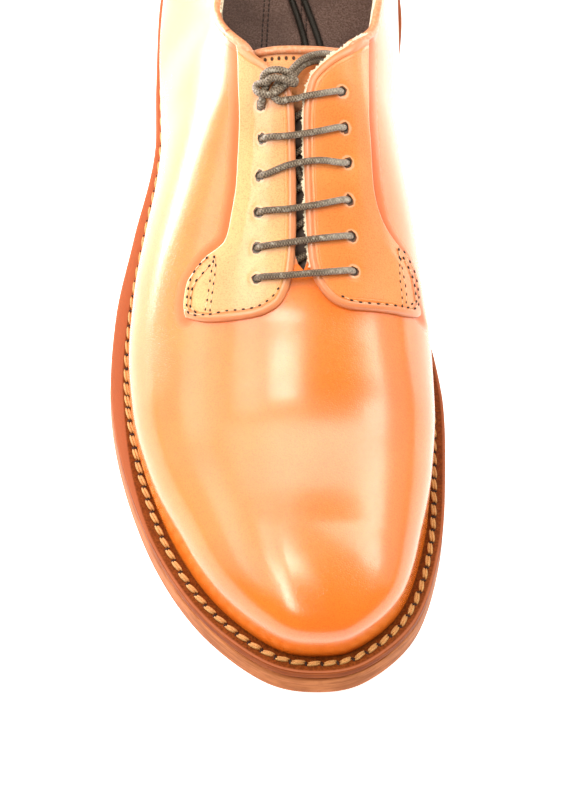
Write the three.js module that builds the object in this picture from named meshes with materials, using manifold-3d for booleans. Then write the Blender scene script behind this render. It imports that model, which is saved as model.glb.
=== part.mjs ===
// Derby shoe for the right foot, plain toe, open lacing with six pairs of punched eyelets,
// stitched welt, leather outsole and stacked heel. It stands empty on a floor at z = 0.
// Millimetres, +Z up. The toe points along -Y and the inner side of the foot is +X.
import * as THREE from 'three';
import { mergeVertices } from 'three/addons/utils/BufferGeometryUtils.js';
import Module from 'manifold-3d';

const wasm = await Module();
wasm.setup();

// Driving dimensions
const LENGTH = 300;              // over the sole, heel back to toe tip
const BALL_WIDTH = 112.4;        // over the welt at the ball of the foot
const INSTEP_HEIGHT = 107;       // ridge of the upper at the top of the lacing, over the floor
const HEEL_HEIGHT = 23.5;        // under the outsole at the back of the heel
const TOE_SPRING = 11;           // under the outsole at the toe tip
const OUTSOLE_THICK = 7.7;
const WELT_THICK = 3;
const WALL = 2;                  // leather and lining of the upper
const FACING_THICK = 1.8;
const TONGUE_THICK = 2;
const INSOLE_THICK = 3;
const LACE_DIAMETER = 2.4;
const EYELET_DIAMETER = 3.4;
const SEAT_GAP = 0.3;            // between curved pieces that meet
const TOP_PIECE_THICK = 6;
const HEEL_LIFTS = 3;
const HEEL_BREAST = 76;          // front of the heel, from the heel back
const BREAST_HOLLOW = 4;
const HEEL_TAPER = 2;            // how far the heel is set in at the floor
const WELT_LEDGE = 5;            // welt that lies under the upper
const LACE_ROOM = 3.7;           // between the upper's wall and the tongue
const SEAT_DEPTH = 6;            // how far the upper's form runs on below the welt's top
const TOE_BULGE = 1;             // how far the upper stands out past its seam at the toe tip
const HEEL_BULGE = 2;            // and at the heel back
const TUCK = 0.3;                // share of the side that stays upright below the widest line
const CUT_LOW = 40;              // plan outlines cut the forms between these heights, which
const CUT_HIGH = 200;            // leaves out the forms' undersides
const HEEL_FLAT = 4.2;           // how flat the form's top runs towards the heel back

// Where the frame's origin lies: under the middle of the whole shoe
const MIDDLE_X = -5.76;
const MIDDLE_A = 149.85;

// How finely the forms are faceted
const RIB_STEPS = 8;
const TUCK_STEPS = 2;
const FAN_STEPS = 12;
const RIB_SPACING = 15;
const OUTLINE_STEPS = 104;
const LAYER_ROWS = 28;
const BREAST_STEPS = 8;
const END_STEPS = 20;
const EYELET_SIDES = 8;
const BOUND_SPACING = 6;
const PAST_ENDS = 30;            // how far cutting solids run past the heel and the toe

const TAN = 0xd9843f;
const SOLE_BROWN = 0x9a5a3c;
const WELT_BROWN = 0x6e3a1e;
const INSOLE_BROWN = 0x3b2620;
const LACE_BROWN = 0x5b5048;
const RUBBER_BROWN = 0x3a2a22;
const TIP_BROWN = 0x2a211d;

// Sole profile: height of the outsole's underside, at: share of the length from the heel
const PROFILE = [
  { at: -0.05, under: HEEL_HEIGHT + 0.6 },
  { at: 0.19, under: HEEL_HEIGHT - 2.28 },
  { at: 0.25, under: HEEL_HEIGHT - 3 },
  { at: 0.333, under: 0.75 * HEEL_HEIGHT },
  { at: 0.417, under: 0.53 * HEEL_HEIGHT },
  { at: 0.5, under: 0.275 * HEEL_HEIGHT },
  { at: 0.573, under: 0.08 * HEEL_HEIGHT },
  { at: 0.627, under: 0 },
  { at: 0.713, under: 0 },
  { at: 0.8, under: 0.13 * TOE_SPRING },
  { at: 0.9, under: 0.45 * TOE_SPRING },
  { at: 1.03, under: 1.05 * TOE_SPRING },
];

// Outer edge of the sole, round from the heel back along the outer side to the toe and home.
// x: share of the ball width, at: share of the length, reach: welt that shows past the upper
const OUTLINE = [
  { x: 0.0, at: 0.0, reach: 2.5 },
  { x: -0.21, at: 0.023, reach: 2.5 },
  { x: -0.325, at: 0.073, reach: 2.5 },
  { x: -0.367, at: 0.14, reach: 2.5 },
  { x: -0.386, at: 0.237, reach: 2.5 },
  { x: -0.4, at: 0.331, reach: 3 },
  { x: -0.468, at: 0.424, reach: 4.5 },
  { x: -0.53, at: 0.517, reach: 6 },
  { x: -0.551, at: 0.62, reach: 6.5 },
  { x: -0.517, at: 0.722, reach: 6.6 },
  { x: -0.431, at: 0.83, reach: 6.6 },
  { x: -0.304, at: 0.918, reach: 6.6 },
  { x: -0.129, at: 0.983, reach: 6.6 },
  { x: 0.031, at: 0.999, reach: 6.6 },
  { x: 0.178, at: 0.985, reach: 6.4 },
  { x: 0.328, at: 0.927, reach: 6 },
  { x: 0.413, at: 0.828, reach: 5.5 },
  { x: 0.443, at: 0.717, reach: 5 },
  { x: 0.443, at: 0.613, reach: 4.5 },
  { x: 0.387, at: 0.507, reach: 3.5 },
  { x: 0.317, at: 0.417, reach: 3 },
  { x: 0.308, at: 0.333, reach: 3 },
  { x: 0.347, at: 0.247, reach: 2.5 },
  { x: 0.373, at: 0.153, reach: 2.5 },
  { x: 0.335, at: 0.073, reach: 2.5 },
  { x: 0.22, at: 0.023, reach: 2.5 },
];

// Sections of the upper, heel to toe. at: share of the length. spine, outer and inner: the ridge
// line and the widest line on each side, shares of the ball width. ridge and side: their heights
// over the floor, shares of the instep height.
const SECTIONS = [
  { at: 0.14, spine: 0.01, ridge: 1.1, side: 0.5, outer: 0.352, inner: 0.352 },
  { at: 0.257, spine: 0.027, ridge: 1.1, side: 0.48, outer: 0.381, inner: 0.346 },
  { at: 0.347, spine: 0.03, ridge: 0.967, side: 0.44, outer: 0.382, inner: 0.334 },
  { at: 0.4, spine: 0.028, ridge: 0.902, side: 0.41, outer: 0.4, inner: 0.347 },
  { at: 0.467, spine: 0.024, ridge: 0.798, side: 0.37, outer: 0.442, inner: 0.372 },
  { at: 0.533, spine: 0.02, ridge: 0.7, side: 0.32, outer: 0.48, inner: 0.39 },
  { at: 0.61, spine: 0.01, ridge: 0.6, side: 0.27, outer: 0.5, inner: 0.408 },
  { at: 0.667, spine: 0.0, ridge: 0.553, side: 0.25, outer: 0.493, inner: 0.41 },
  { at: 0.75, spine: -0.01, ridge: 0.513, side: 0.245, outer: 0.447, inner: 0.392 },
  { at: 0.853, spine: -0.01, ridge: 0.46, side: 0.25, outer: 0.335, inner: 0.335 },
];

// Arch of each section. outer and inner: how flat the top runs towards that side, steep: how
// upright the sides stand. 2 and 2 is an ellipse.
const ARCHES = [
  { at: 0.14, outer: 1.3, inner: 1.4, steep: 1.5 },
  { at: 0.257, outer: 1.55, inner: 3.2, steep: 1.1 },
  { at: 0.347, outer: 2.6, inner: 3, steep: 1.45 },
  { at: 0.4, outer: 2.7, inner: 2.8, steep: 1.55 },
  { at: 0.467, outer: 2.6, inner: 2.6, steep: 1.6 },
  { at: 0.533, outer: 2.4, inner: 2.4, steep: 1.7 },
  { at: 0.61, outer: 2.2, inner: 2.2, steep: 1.8 },
  { at: 0.667, outer: 2.1, inner: 2.1, steep: 1.9 },
  { at: 0.75, outer: 2, inner: 2, steep: 2 },
  { at: 0.853, outer: 2, inner: 2, steep: 2.1 },
];

// Height of the collar's edge along the shoe, at: share of the length, height: of the instep's
const TOPLINE = [
  { at: -0.1, height: 0.9 },
  { at: 0.03, height: 0.9 },
  { at: 0.12, height: 0.83 },
  { at: 0.2, height: 0.78 },
  { at: 0.26, height: 0.79 },
  { at: 0.3, height: 0.825 },
  { at: 0.335, height: 0.885 },
  { at: 0.36, height: 1.02 },
];

// Plan outlines on the upper, x across and a along from the heel back, first top then forward
const THROAT = [
  { x: 0.3, a: 169, corner: true },
  { x: 0.3, a: 120, corner: true },
  { x: -2, a: 117.5 },
  { x: -13.5, a: 107, corner: true },
  { x: -20, a: 100, corner: true },
  { x: -15, a: 85, corner: true },
  { x: 20, a: 85, corner: true },
  { x: 24.5, a: 99, corner: true },
  { x: 16.5, a: 104.5 },
  { x: 9, a: 110.5 },
  { x: 5.2, a: 115 },
  { x: 4.3, a: 120, corner: true },
  { x: 4.3, a: 169, corner: true },
  { x: 2.3, a: 171.5 },
];
const FACINGS = {
  facing_lateral: [
    { x: 0.3, a: 120, corner: true },
    { x: 0.3, a: 167, corner: true },
    { x: -1, a: 174 },
    { x: -4.5, a: 181.5 },
    { x: -11.5, a: 186.5 },
    { x: -25, a: 186.5 },
    { x: -37.5, a: 182, corner: true },
    { x: -38.5, a: 175 },
    { x: -35.5, a: 167 },
    { x: -29.5, a: 161 },
    { x: -24, a: 156.5 },
    { x: -21.3, a: 146 },
    { x: -19.6, a: 130, corner: true },
    { x: -19.6, a: 100.5, corner: true },
    { x: -13.5, a: 107, corner: true },
    { x: -2, a: 117.5 },
  ],
  facing_medial: [
    { x: 4.3, a: 120, corner: true },
    { x: 4.3, a: 166, corner: true },
    { x: 6, a: 172.5 },
    { x: 9.5, a: 178 },
    { x: 16.5, a: 181 },
    { x: 30, a: 179 },
    { x: 43, a: 173, corner: true },
    { x: 42.5, a: 166 },
    { x: 38, a: 158.5 },
    { x: 32.5, a: 152.5 },
    { x: 29.5, a: 143 },
    { x: 27, a: 130, corner: true },
    { x: 25, a: 99.5, corner: true },
    { x: 16.5, a: 104.5 },
    { x: 9, a: 110.5 },
    { x: 5.2, a: 115 },
  ],
};
const TONGUE = [
  { x: -14.5, a: 100, corner: true },
  { x: -7, a: 103.5 },
  { x: 1, a: 104.5 },
  { x: 10, a: 103 },
  { x: 17, a: 99, corner: true },
  { x: 17, a: 150 },
  { x: 15, a: 190, corner: true },
  { x: -13, a: 190, corner: true },
  { x: -14, a: 150 },
];
const TONGUE_ROOT = [{ x: -12, a: 178 }, { x: 14, a: 178 }, { x: 14, a: 191 }, { x: -12, a: 191 }];

// Eyelets, lowest pair first
const EYELETS = [
  { outer: { x: -14.3, a: 173.7 }, inner: { x: 17.7, a: 171.1 } },
  { outer: { x: -13.5, a: 164.4 }, inner: { x: 17.2, a: 160.7 } },
  { outer: { x: -12.9, a: 153.8 }, inner: { x: 16.5, a: 150.2 } },
  { outer: { x: -12.4, a: 143 }, inner: { x: 16.1, a: 139.2 } },
  { outer: { x: -11.6, a: 132.1 }, inner: { x: 15.2, a: 129 } },
  { outer: { x: -11.4, a: 122.1 }, inner: { x: 15, a: 118.5 } },
];

// The knot over the outer facing's top edge, and the lace's two free ends: down to the tongue,
// under the inner facing, round the tongue's edge and along the insole to the heel. over: height
// over the upper's surface, z: over the floor. Each ends in an aglet.
const KNOT = { x: -4.6, a: 116.6, over: 5.7, width: 13.4, depth: 10, height: 6.2 };
const TOP_BAR_END = { x: 1.6, a: 123 };
const LACE_ENDS = {
  lace_end_1: [
    { x: 2.6, a: 115.2, over: 5.6 }, { x: 3.4, a: 112.6, over: 3 }, { x: 4.6, a: 110, over: -0.4 },
    { x: 6.8, a: 107.8, over: -3.2 }, { x: 10, a: 106, over: -3.7 }, { x: 13.4, a: 105, over: -3.7 },
    { x: 16.8, a: 104.2, over: -3.7 }, { x: 20, a: 103.4, over: -3.8 }, { x: 20, a: 100.4, z: 88.4 },
    { x: 20.9, a: 98.8, z: 82 }, { x: 21.2, a: 97, z: 73 }, { x: 20.8, a: 94.6, z: 63 },
    { x: 19.6, a: 91.4, z: 52 }, { x: 17.9, a: 86.4, z: 42.6 }, { x: 16.1, a: 78.6, z: 37 },
    { x: 14.2, a: 69, z: 36.8 }, { x: 12.4, a: 60, z: 37.1 }, { x: 10, a: 51, z: 37.5 },
    { x: 7.4, a: 42, z: 37.9 }, { x: 4.6, a: 33, z: 38.2 },
  ],
  lace_end_2: [
    { x: 2, a: 119, over: 4.6 }, { x: 2.4, a: 116.6, over: 1.6 }, { x: 3.4, a: 114.2, over: -1.4 },
    { x: 5.4, a: 112.2, over: -3.4 }, { x: 8.6, a: 110.4, over: -3.7 }, { x: 12, a: 109.2, over: -3.6 },
    { x: 15.6, a: 108.4, over: -3.4 }, { x: 19.8, a: 107.6, over: -3.5 }, { x: 20.1, a: 105, z: 87 },
    { x: 20.6, a: 104.2, z: 81 }, { x: 20.2, a: 103.4, z: 72 }, { x: 18.8, a: 101.8, z: 61.6 },
    { x: 15.7, a: 99, z: 50 }, { x: 13.2, a: 94.6, z: 40.8 }, { x: 11.3, a: 87.6, z: 35.9 },
    { x: 10.1, a: 79, z: 36.2 }, { x: 9, a: 70, z: 36.8 }, { x: 7.6, a: 60, z: 37.1 },
    { x: 5.6, a: 51, z: 37.5 }, { x: 3.2, a: 42, z: 37.9 }, { x: 0.8, a: 33, z: 38.2 },
  ],
};
const AGLET_LENGTH = 12;

// Value of a table's column at a place, by a smooth curve that adds no bumps of its own
function smooth(table, key, at) {
  const last = table.length - 1;
  if (at <= table[0].at) return table[0][key];
  if (at >= table[last].at) return table[last][key];
  const rise = (i) => (table[i + 1][key] - table[i][key]) / (table[i + 1].at - table[i].at);
  const slope = (i) => {
    if (i === 0) return rise(0);
    if (i === last) return rise(last - 1);
    const [before, after] = [rise(i - 1), rise(i)];
    return before * after <= 0 ? 0 : (2 * before * after) / (before + after);
  };
  let i = 0;
  while (table[i + 1].at < at) i += 1;
  const span = table[i + 1].at - table[i].at;
  const t = (at - table[i].at) / span;
  const s = 1 - t;
  const ends = table[i][key] * (1 + 2 * t) * s * s + table[i + 1][key] * (1 + 2 * s) * t * t;
  return ends + span * (slope(i) * t * s * s - slope(i + 1) * s * t * t);
}

// A point by its place across, along from the heel back, and up
const place = (x, a, z) => new THREE.Vector3(x - MIDDLE_X, MIDDLE_A - a, z);

// The sole bends with its profile, and a layer's height stands square to the underside
const under = (a) => smooth(PROFILE, 'under', a / LENGTH);
const lean = (a) => Math.atan(under(a + 0.5) - under(a - 0.5));
const onSole = (x, a, height) => place(
  x, a - height * Math.sin(lean(a)), under(a) + height * Math.cos(lean(a)));

// Height over the floor of a layer of the sole, above a place along the floor
function layerTop(along, height) {
  let a = along;
  for (let pass = 0; pass < 4; pass += 1) a = along + height * Math.sin(lean(a));
  return under(a) + height * Math.cos(lean(a));
}
const WELT_TOP = OUTSOLE_THICK + SEAT_GAP + WELT_THICK;
const UPPER_SEAT = WELT_TOP + SEAT_GAP;

// The sole's outline as plan points { x, a, reach }, set in from the edge by a depth
const outlineCurve = new THREE.CatmullRomCurve3(
  OUTLINE.map((p) => new THREE.Vector3(p.x * BALL_WIDTH, p.at * LENGTH, p.reach)),
  true, 'catmullrom', 0.5);
const EDGE = outlineCurve.getPoints(OUTLINE_STEPS).slice(0, OUTLINE_STEPS);

function insetRing(depth) {
  return EDGE.map((p, i) => {
    const before = EDGE[(i + EDGE.length - 1) % EDGE.length];
    const after = EDGE[(i + 1) % EDGE.length];
    const run = Math.hypot(after.x - before.x, after.y - before.y);
    const set = depth(p.z);
    return { x: p.x + (set * (after.y - before.y)) / run, a: p.y - (set * (after.x - before.x)) / run };
  });
}

// Where a ray in plan leaves a ring
function reachOf(ring, x, a, dx, da) {
  let best = 0;
  ring.forEach((p, i) => {
    const q = ring[(i + 1) % ring.length];
    const [ex, ea] = [q.x - p.x, q.a - p.a];
    const cross = dx * ea - da * ex;
    if (Math.abs(cross) < 1e-9) return;
    const t = ((p.x - x) * ea - (p.a - a) * ex) / cross;
    const s = ((p.x - x) * da - (p.a - a) * dx) / cross;
    if (t > 0 && s >= -1e-9 && s <= 1 + 1e-9) best = Math.max(best, t);
  });
  return best;
}

// Meshes: vertices are shared, and faces without area are left out
function geometryOf(positions, index) {
  const geometry = new THREE.BufferGeometry();
  geometry.setAttribute('position', new THREE.Float32BufferAttribute(positions, 3));
  if (index) geometry.setIndex(index);
  const merged = mergeVertices(geometry, 1e-3);
  const order = merged.index.array;
  const kept = [];
  for (let i = 0; i < order.length; i += 3) {
    const [p, q, r] = [order[i], order[i + 1], order[i + 2]];
    if (p !== q && q !== r && r !== p) kept.push(p, q, r);
  }
  merged.setIndex(kept);
  return merged;
}

// Turns a closed skin's faces outwards
function facingOut(geometry) {
  const points = geometry.getAttribute('position');
  const order = geometry.index.array;
  const [p, q, r] = [new THREE.Vector3(), new THREE.Vector3(), new THREE.Vector3()];
  let volume = 0;
  for (let i = 0; i < order.length; i += 3) {
    p.fromBufferAttribute(points, order[i]);
    q.fromBufferAttribute(points, order[i + 1]);
    r.fromBufferAttribute(points, order[i + 2]);
    volume += p.dot(q.cross(r));
  }
  if (volume < 0) {
    for (let i = 0; i < order.length; i += 3) [order[i], order[i + 1]] = [order[i + 1], order[i]];
  }
  return geometry;
}

function solidOf(geometry) {
  const bare = geometry.clone();
  bare.deleteAttribute('normal');
  bare.deleteAttribute('uv');
  const merged = mergeVertices(bare, 1e-3);
  return new wasm.Manifold(new wasm.Mesh({
    numProp: 3,
    vertProperties: new Float32Array(merged.getAttribute('position').array),
    triVerts: new Uint32Array(merged.index.array),
  }));
}

function geometryFrom(solid) {
  const mesh = solid.getMesh();
  return geometryOf(Array.from(mesh.vertProperties), Array.from(mesh.triVerts));
}

// Closed skin over closed rings of the same number of points. Ends that don't shrink to a point
// or a line are flat.
function skinOver(rings) {
  const sides = rings[0].length;
  const positions = rings.flatMap((ring) => ring.flatMap((p) => [p.x, p.y, p.z]));
  const index = [];
  for (let r = 0; r + 1 < rings.length; r += 1) {
    for (let i = 0; i < sides; i += 1) {
      const [p, q] = [r * sides + i, r * sides + ((i + 1) % sides)];
      index.push(p, q, q + sides, p, q + sides, p + sides);
    }
  }
  const end = (rings.length - 1) * sides;
  for (let i = 1; i + 1 < sides; i += 1) {
    index.push(0, i + 1, i, end, end + i, end + i + 1);
  }
  return facingOut(geometryOf(positions, index));
}

// A layer of the sole inside a ring, between two heights over the bent underside. Its rows run
// across, closer together at the heel and the toe.
function soleLayer(depth, low, high) {
  const ring = insetRing(depth);
  const along = ring.map((p) => p.a);
  const [back, front] = [Math.min(...along), Math.max(...along)];
  const rows = [];
  for (let i = 0; i <= LAYER_ROWS; i += 1) {
    const a = back + ((front - back) * (1 - Math.cos((Math.PI * i) / LAYER_ROWS))) / 2;
    const inner = Math.min(Math.max(a, back + 0.01), front - 0.01);
    const tip = i === 0 || i === LAYER_ROWS;
    const middle = tip ? ring[along.indexOf(i === 0 ? back : front)].x : 0.02 * BALL_WIDTH;
    const left = tip ? middle : middle - reachOf(ring, middle, inner, -1, 0);
    const right = tip ? middle : middle + reachOf(ring, middle, inner, 1, 0);
    rows.push([onSole(left, a, low), onSole(right, a, low), onSole(right, a, high), onSole(left, a, high)]);
  }
  return solidOf(skinOver(rows));
}

// A column over a plan outline of { x, a } points
function column(outline) {
  const shape = new THREE.Shape(outline.map((p) => new THREE.Vector2(p.x - MIDDLE_X, MIDDLE_A - p.a)));
  const geometry = new THREE.ExtrudeGeometry(shape, { depth: CUT_HIGH - CUT_LOW, bevelEnabled: false });
  geometry.translate(0, 0, CUT_LOW);
  return solidOf(facingOut(geometryOf(Array.from(geometry.getAttribute('position').array))));
}

// All that lies between a height that changes along the shoe and one far above or below it
function bounded(heightAt, far, end = LENGTH + PAST_ENDS) {
  const rows = [];
  const count = Math.round((end + PAST_ENDS) / BOUND_SPACING);
  for (let i = 0; i <= count; i += 1) {
    const a = -PAST_ENDS + ((end + PAST_ENDS) * i) / count;
    const near = heightAt(a);
    rows.push([place(-BALL_WIDTH, a, near), place(BALL_WIDTH, a, near),
      place(BALL_WIDTH, a, far), place(-BALL_WIDTH, a, far)]);
  }
  return solidOf(skinOver(rows));
}

// A smooth plan outline through a table's points, with corners where a row says so
function planOutline(rows, steps = 4) {
  const points = [];
  let run = [];
  const close = (from) => {
    if (run.length < 3) points.push(...run.slice(0, -1));
    else {
      const curve = new THREE.SplineCurve(run.map((p) => new THREE.Vector2(p.x, p.a)));
      const fine = curve.getPoints((run.length - 1) * steps).slice(0, -1);
      points.push(...fine.map((p) => ({ x: p.x, a: p.y })));
    }
    run = from ? [from] : [];
  };
  rows.forEach((row) => {
    run.push(row);
    if (row.corner && run.length > 1) close(row);
  });
  run.push(rows[0]);
  close();
  return points;
}

// The upper's form: ribs from the ridge line down to the welt seam, side by side along the shoe
// and fanned round the toe and the heel
const SEAM = insetRing((reach) => reach).map((p) => (
  { x: p.x, a: p.a - WELT_TOP * Math.sin(lean(p.a)) }));
const FIRST = SECTIONS[0].at * LENGTH;
const LAST = SECTIONS[SECTIONS.length - 1].at * LENGTH;
const sectionAt = (key, a) => smooth(SECTIONS, key, a / LENGTH);
const spineAt = (a) => sectionAt('spine', a) * BALL_WIDTH;
const ridgeAt = (a) => sectionAt('ridge', a) * INSTEP_HEIGHT;

function ribAt(a, turn, side) {
  const spine = spineAt(a);
  const top = ridgeAt(a);
  const ahead = Math.sin(turn);
  const round = Math.abs(ahead);
  const [dx, da] = [side * Math.cos(turn), ahead];
  const seam = reachOf(SEAM, spine, a, dx, da);
  const flank = reachOf(SEAM, spine, a, side, 0);
  const half = sectionAt(side < 0 ? 'outer' : 'inner', a) * BALL_WIDTH - spine * side;
  const endBulge = ahead > 0 ? TOE_BULGE : HEEL_BULGE;
  const wide = seam + (half - flank) * (1 - round) + endBulge * round;
  const foot = layerTop(a + seam * ahead, WELT_TOP);
  const belly = foot + (sectionAt('side', a) * INSTEP_HEIGHT - layerTop(a, WELT_TOP));
  const ownFlat = smooth(ARCHES, side < 0 ? 'outer' : 'inner', a / LENGTH);
  const flat = ahead > 0 ? ownFlat : ownFlat * (1 - round) + HEEL_FLAT * round;
  const steep = smooth(ARCHES, 'steep', a / LENGTH);
  const slope = ahead > 0 ? (ridgeAt(a) - ridgeAt(a - 1)) * ahead : 0;
  const profile = [];
  for (let i = 0; i <= RIB_STEPS; i += 1) {
    const angle = (Math.PI * i) / (2 * RIB_STEPS);
    const share = Math.sin(angle) ** (2 / flat);
    const height = (top - belly) * Math.max(Math.cos(angle), 0) ** (2 / steep);
    profile.push(new THREE.Vector2(wide * share, belly + height + slope * wide * share * (1 - share) ** 2));
  }
  const tuck = new THREE.QuadraticBezierCurve(
    new THREE.Vector2(wide, belly), new THREE.Vector2(wide, foot + TUCK * (belly - foot)),
    new THREE.Vector2(seam, foot));
  profile.push(...tuck.getPoints(TUCK_STEPS).slice(1));
  profile.push(new THREE.Vector2(seam, foot - SEAT_DEPTH));
  profile.push(new THREE.Vector2(0, layerTop(a, WELT_TOP) - SEAT_DEPTH));
  return profile.map((p) => place(spine + p.x * dx, a + p.x * da, p.y));
}

function ribs() {
  const stations = [FIRST];
  SECTIONS.slice(1).forEach((row, i) => {
    const from = SECTIONS[i].at * LENGTH;
    const span = row.at * LENGTH - from;
    const pieces = Math.max(1, Math.round(span / RIB_SPACING));
    for (let k = 1; k <= pieces; k += 1) stations.push(from + (span * k) / pieces);
  });
  const turns = Array.from({ length: FAN_STEPS - 1 }, (_, k) => (Math.PI * (k + 1)) / FAN_STEPS);
  const fan = (a, turn, forward, side) => {
    const past = turn > Math.PI / 2;
    return ribAt(a, forward * (past ? Math.PI - turn : turn), past ? -side : side);
  };
  return [
    ...stations.map((a) => ribAt(a, 0, -1)),
    ...turns.map((turn) => fan(LAST, turn, 1, -1)),
    ...[...stations].reverse().map((a) => ribAt(a, 0, 1)),
    ...turns.map((turn) => fan(FIRST, turn, -1, 1)),
  ];
}
const RIBS = ribs();

// The closed form, grown or shrunk square to its surface by an offset
function form(offset) {
  const points = RIBS[0].length;
  const positions = RIBS.flatMap((rib) => rib.flatMap((p) => [p.x, p.y, p.z]));
  const index = [];
  RIBS.forEach((rib, r) => {
    const next = (r + 1) % RIBS.length;
    for (let j = 0; j + 1 < points; j += 1) {
      const [p, q] = [r * points + j, next * points + j];
      index.push(p, q, q + 1, p, q + 1, p + 1);
    }
  });
  const skin = facingOut(geometryOf(positions, index));
  skin.computeVertexNormals();
  const spots = skin.getAttribute('position');
  const normals = skin.getAttribute('normal');
  const [spot, normal] = [new THREE.Vector3(), new THREE.Vector3()];
  for (let i = 0; i < spots.count; i += 1) {
    spot.fromBufferAttribute(spots, i).addScaledVector(normal.fromBufferAttribute(normals, i), offset);
    spots.setXYZ(i, spot.x, spot.y, spot.z);
  }
  return solidOf(skin);
}

// Height of the upper's outer surface above a plan place, and the direction square to it there
function surfaceAt(x, a) {
  const side = x < spineAt(a) ? -1 : 1;
  const rib = ribAt(a, 0, side).slice(0, RIB_STEPS + 1);
  const out = Math.abs(x - spineAt(a));
  const halves = rib.map((p) => Math.abs(p.x + MIDDLE_X - spineAt(a)));
  let j = 1;
  while (j < RIB_STEPS && halves[j] < out) j += 1;
  const t = (out - halves[j - 1]) / (halves[j] - halves[j - 1]);
  return rib[j - 1].z + t * (rib[j].z - rib[j - 1].z);
}
function outwardAt(x, a) {
  const dx = (surfaceAt(x + 1, a) - surfaceAt(x - 1, a)) / 2;
  const da = (surfaceAt(x, a + 1) - surfaceAt(x, a - 1)) / 2;
  return new THREE.Vector3(-dx, da, 1).normalize();
}
const above = (x, a, height) => place(x, a, surfaceAt(x, a)).addScaledVector(outwardAt(x, a), height);

// Sub-parts
const shoe = new THREE.Group();
function add(name, geometry, color, roughness) {
  geometry.computeVertexNormals();
  const material = new THREE.MeshStandardMaterial({ color, roughness, metalness: 0 });
  const mesh = new THREE.Mesh(geometry, material);
  mesh.name = name;
  shoe.add(mesh);
}

// Outsole, and the welt as a strip on it with the insole's filler inside
function addSole() {
  const outsole = soleLayer(() => 0, 0, OUTSOLE_THICK);
  add('outsole', geometryFrom(outsole), SOLE_BROWN, 0.5);
  const welt = soleLayer(() => 0, OUTSOLE_THICK + SEAT_GAP, WELT_TOP)
    .subtract(soleLayer((reach) => reach + WELT_LEDGE, OUTSOLE_THICK, WELT_TOP + 1));
  add('welt', geometryFrom(welt), WELT_BROWN, 0.5);
  const inside = (reach) => reach + WELT_LEDGE + SEAT_GAP;
  const filler = soleLayer(inside, OUTSOLE_THICK + SEAT_GAP, UPPER_SEAT + 1);
  const plate = soleLayer((reach) => reach + WALL + 1, UPPER_SEAT, UPPER_SEAT + INSOLE_THICK);
  add('insole', geometryFrom(filler.add(plate)), INSOLE_BROWN, 0.7);
}

// Heel: lifts under the outsole, set in a little towards the floor, with a curved front
function heelRing(inset) {
  const ring = insetRing(() => inset);
  const half = OUTLINE_STEPS / 2;
  const sides = [...ring.slice(half), ...ring.slice(0, half)].filter((p) => p.a < HEEL_BREAST - 1);
  const right = reachOf(ring, 0, HEEL_BREAST, 1, 0);
  const left = -reachOf(ring, 0, HEEL_BREAST, -1, 0);
  const breast = [];
  for (let i = 0; i <= BREAST_STEPS; i += 1) {
    const t = (2 * i) / BREAST_STEPS - 1;
    const x = (left * (1 - t) + right * (1 + t)) / 2;
    breast.push({ x, a: HEEL_BREAST - BREAST_HOLLOW * (1 - t * t) });
  }
  return [...sides, ...breast];
}

function heelPiece(low, high) {
  const ringAt = (height) => {
    const share = height(0) / under(0);
    return heelRing(HEEL_TAPER * (1 - share)).map((p) => ({ ...p, z: height(p.a) }));
  };
  const rings = [ringAt(low), ringAt(high)];
  const sides = rings[0].length;
  const positions = rings.flat().flatMap((p) => place(p.x, p.a, p.z).toArray());
  const index = [];
  for (let i = 0; i < sides; i += 1) {
    const j = (i + 1) % sides;
    index.push(i, j, j + sides, i, j + sides, i + sides);
  }
  rings.forEach((ring, r) => {
    const flat = ring.map((p) => new THREE.Vector2(p.x, p.a));
    THREE.ShapeUtils.triangulateShape(flat, []).forEach(([p, q, s]) => {
      index.push(...(r === 0 ? [p, q, s] : [p, s, q]).map((n) => n + r * sides));
    });
  });
  return facingOut(geometryOf(positions, index));
}

function addHeel() {
  add('heel_top_piece', heelPiece(() => 0, () => TOP_PIECE_THICK), RUBBER_BROWN, 0.7);
  const lift = (under(HEEL_BREAST) - TOP_PIECE_THICK) / HEEL_LIFTS;
  for (let i = 0; i < HEEL_LIFTS; i += 1) {
    const low = TOP_PIECE_THICK + i * lift;
    const top = i === HEEL_LIFTS - 1 ? (a) => under(a) - SEAT_GAP : () => low + lift;
    add(`heel_lift_${i + 1}`, heelPiece(() => low, top), SOLE_BROWN, 0.5);
  }
}

// Eyelet holes, square to the surface
function punch(spot, radius) {
  const reach = 12;
  const hole = new THREE.CylinderGeometry(radius, radius, 2 * reach, EYELET_SIDES);
  hole.applyQuaternion(new THREE.Quaternion().setFromUnitVectors(
    new THREE.Vector3(0, 1, 0), outwardAt(spot.x, spot.a)));
  const middle = above(spot.x, spot.a, 0);
  hole.translate(middle.x, middle.y, middle.z);
  return solidOf(hole);
}
const HOLES = EYELETS.flatMap((pair) => [pair.outer, pair.inner])
  .map((spot) => punch(spot, EYELET_DIAMETER / 2))
  .reduce((all, hole) => all.add(hole));

function addUpper() {
  const topline = (a) => smooth(TOPLINE, 'height', a / LENGTH) * INSTEP_HEIGHT;
  const upper = form(0).subtract(form(-WALL))
    .subtract(bounded((a) => layerTop(a, UPPER_SEAT), -CUT_LOW))
    .subtract(bounded(topline, CUT_HIGH, TOPLINE[TOPLINE.length - 1].at * LENGTH))
    .subtract(column(planOutline(THROAT)))
    .subtract(HOLES);
  add('upper', geometryFrom(upper), TAN, 0.3);
  const skin = form(SEAT_GAP + FACING_THICK).subtract(form(SEAT_GAP)).subtract(HOLES);
  Object.entries(FACINGS).forEach(([name, outline]) => {
    add(name, geometryFrom(skin.intersect(column(planOutline(outline)))), TAN, 0.3);
  });
}

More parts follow.
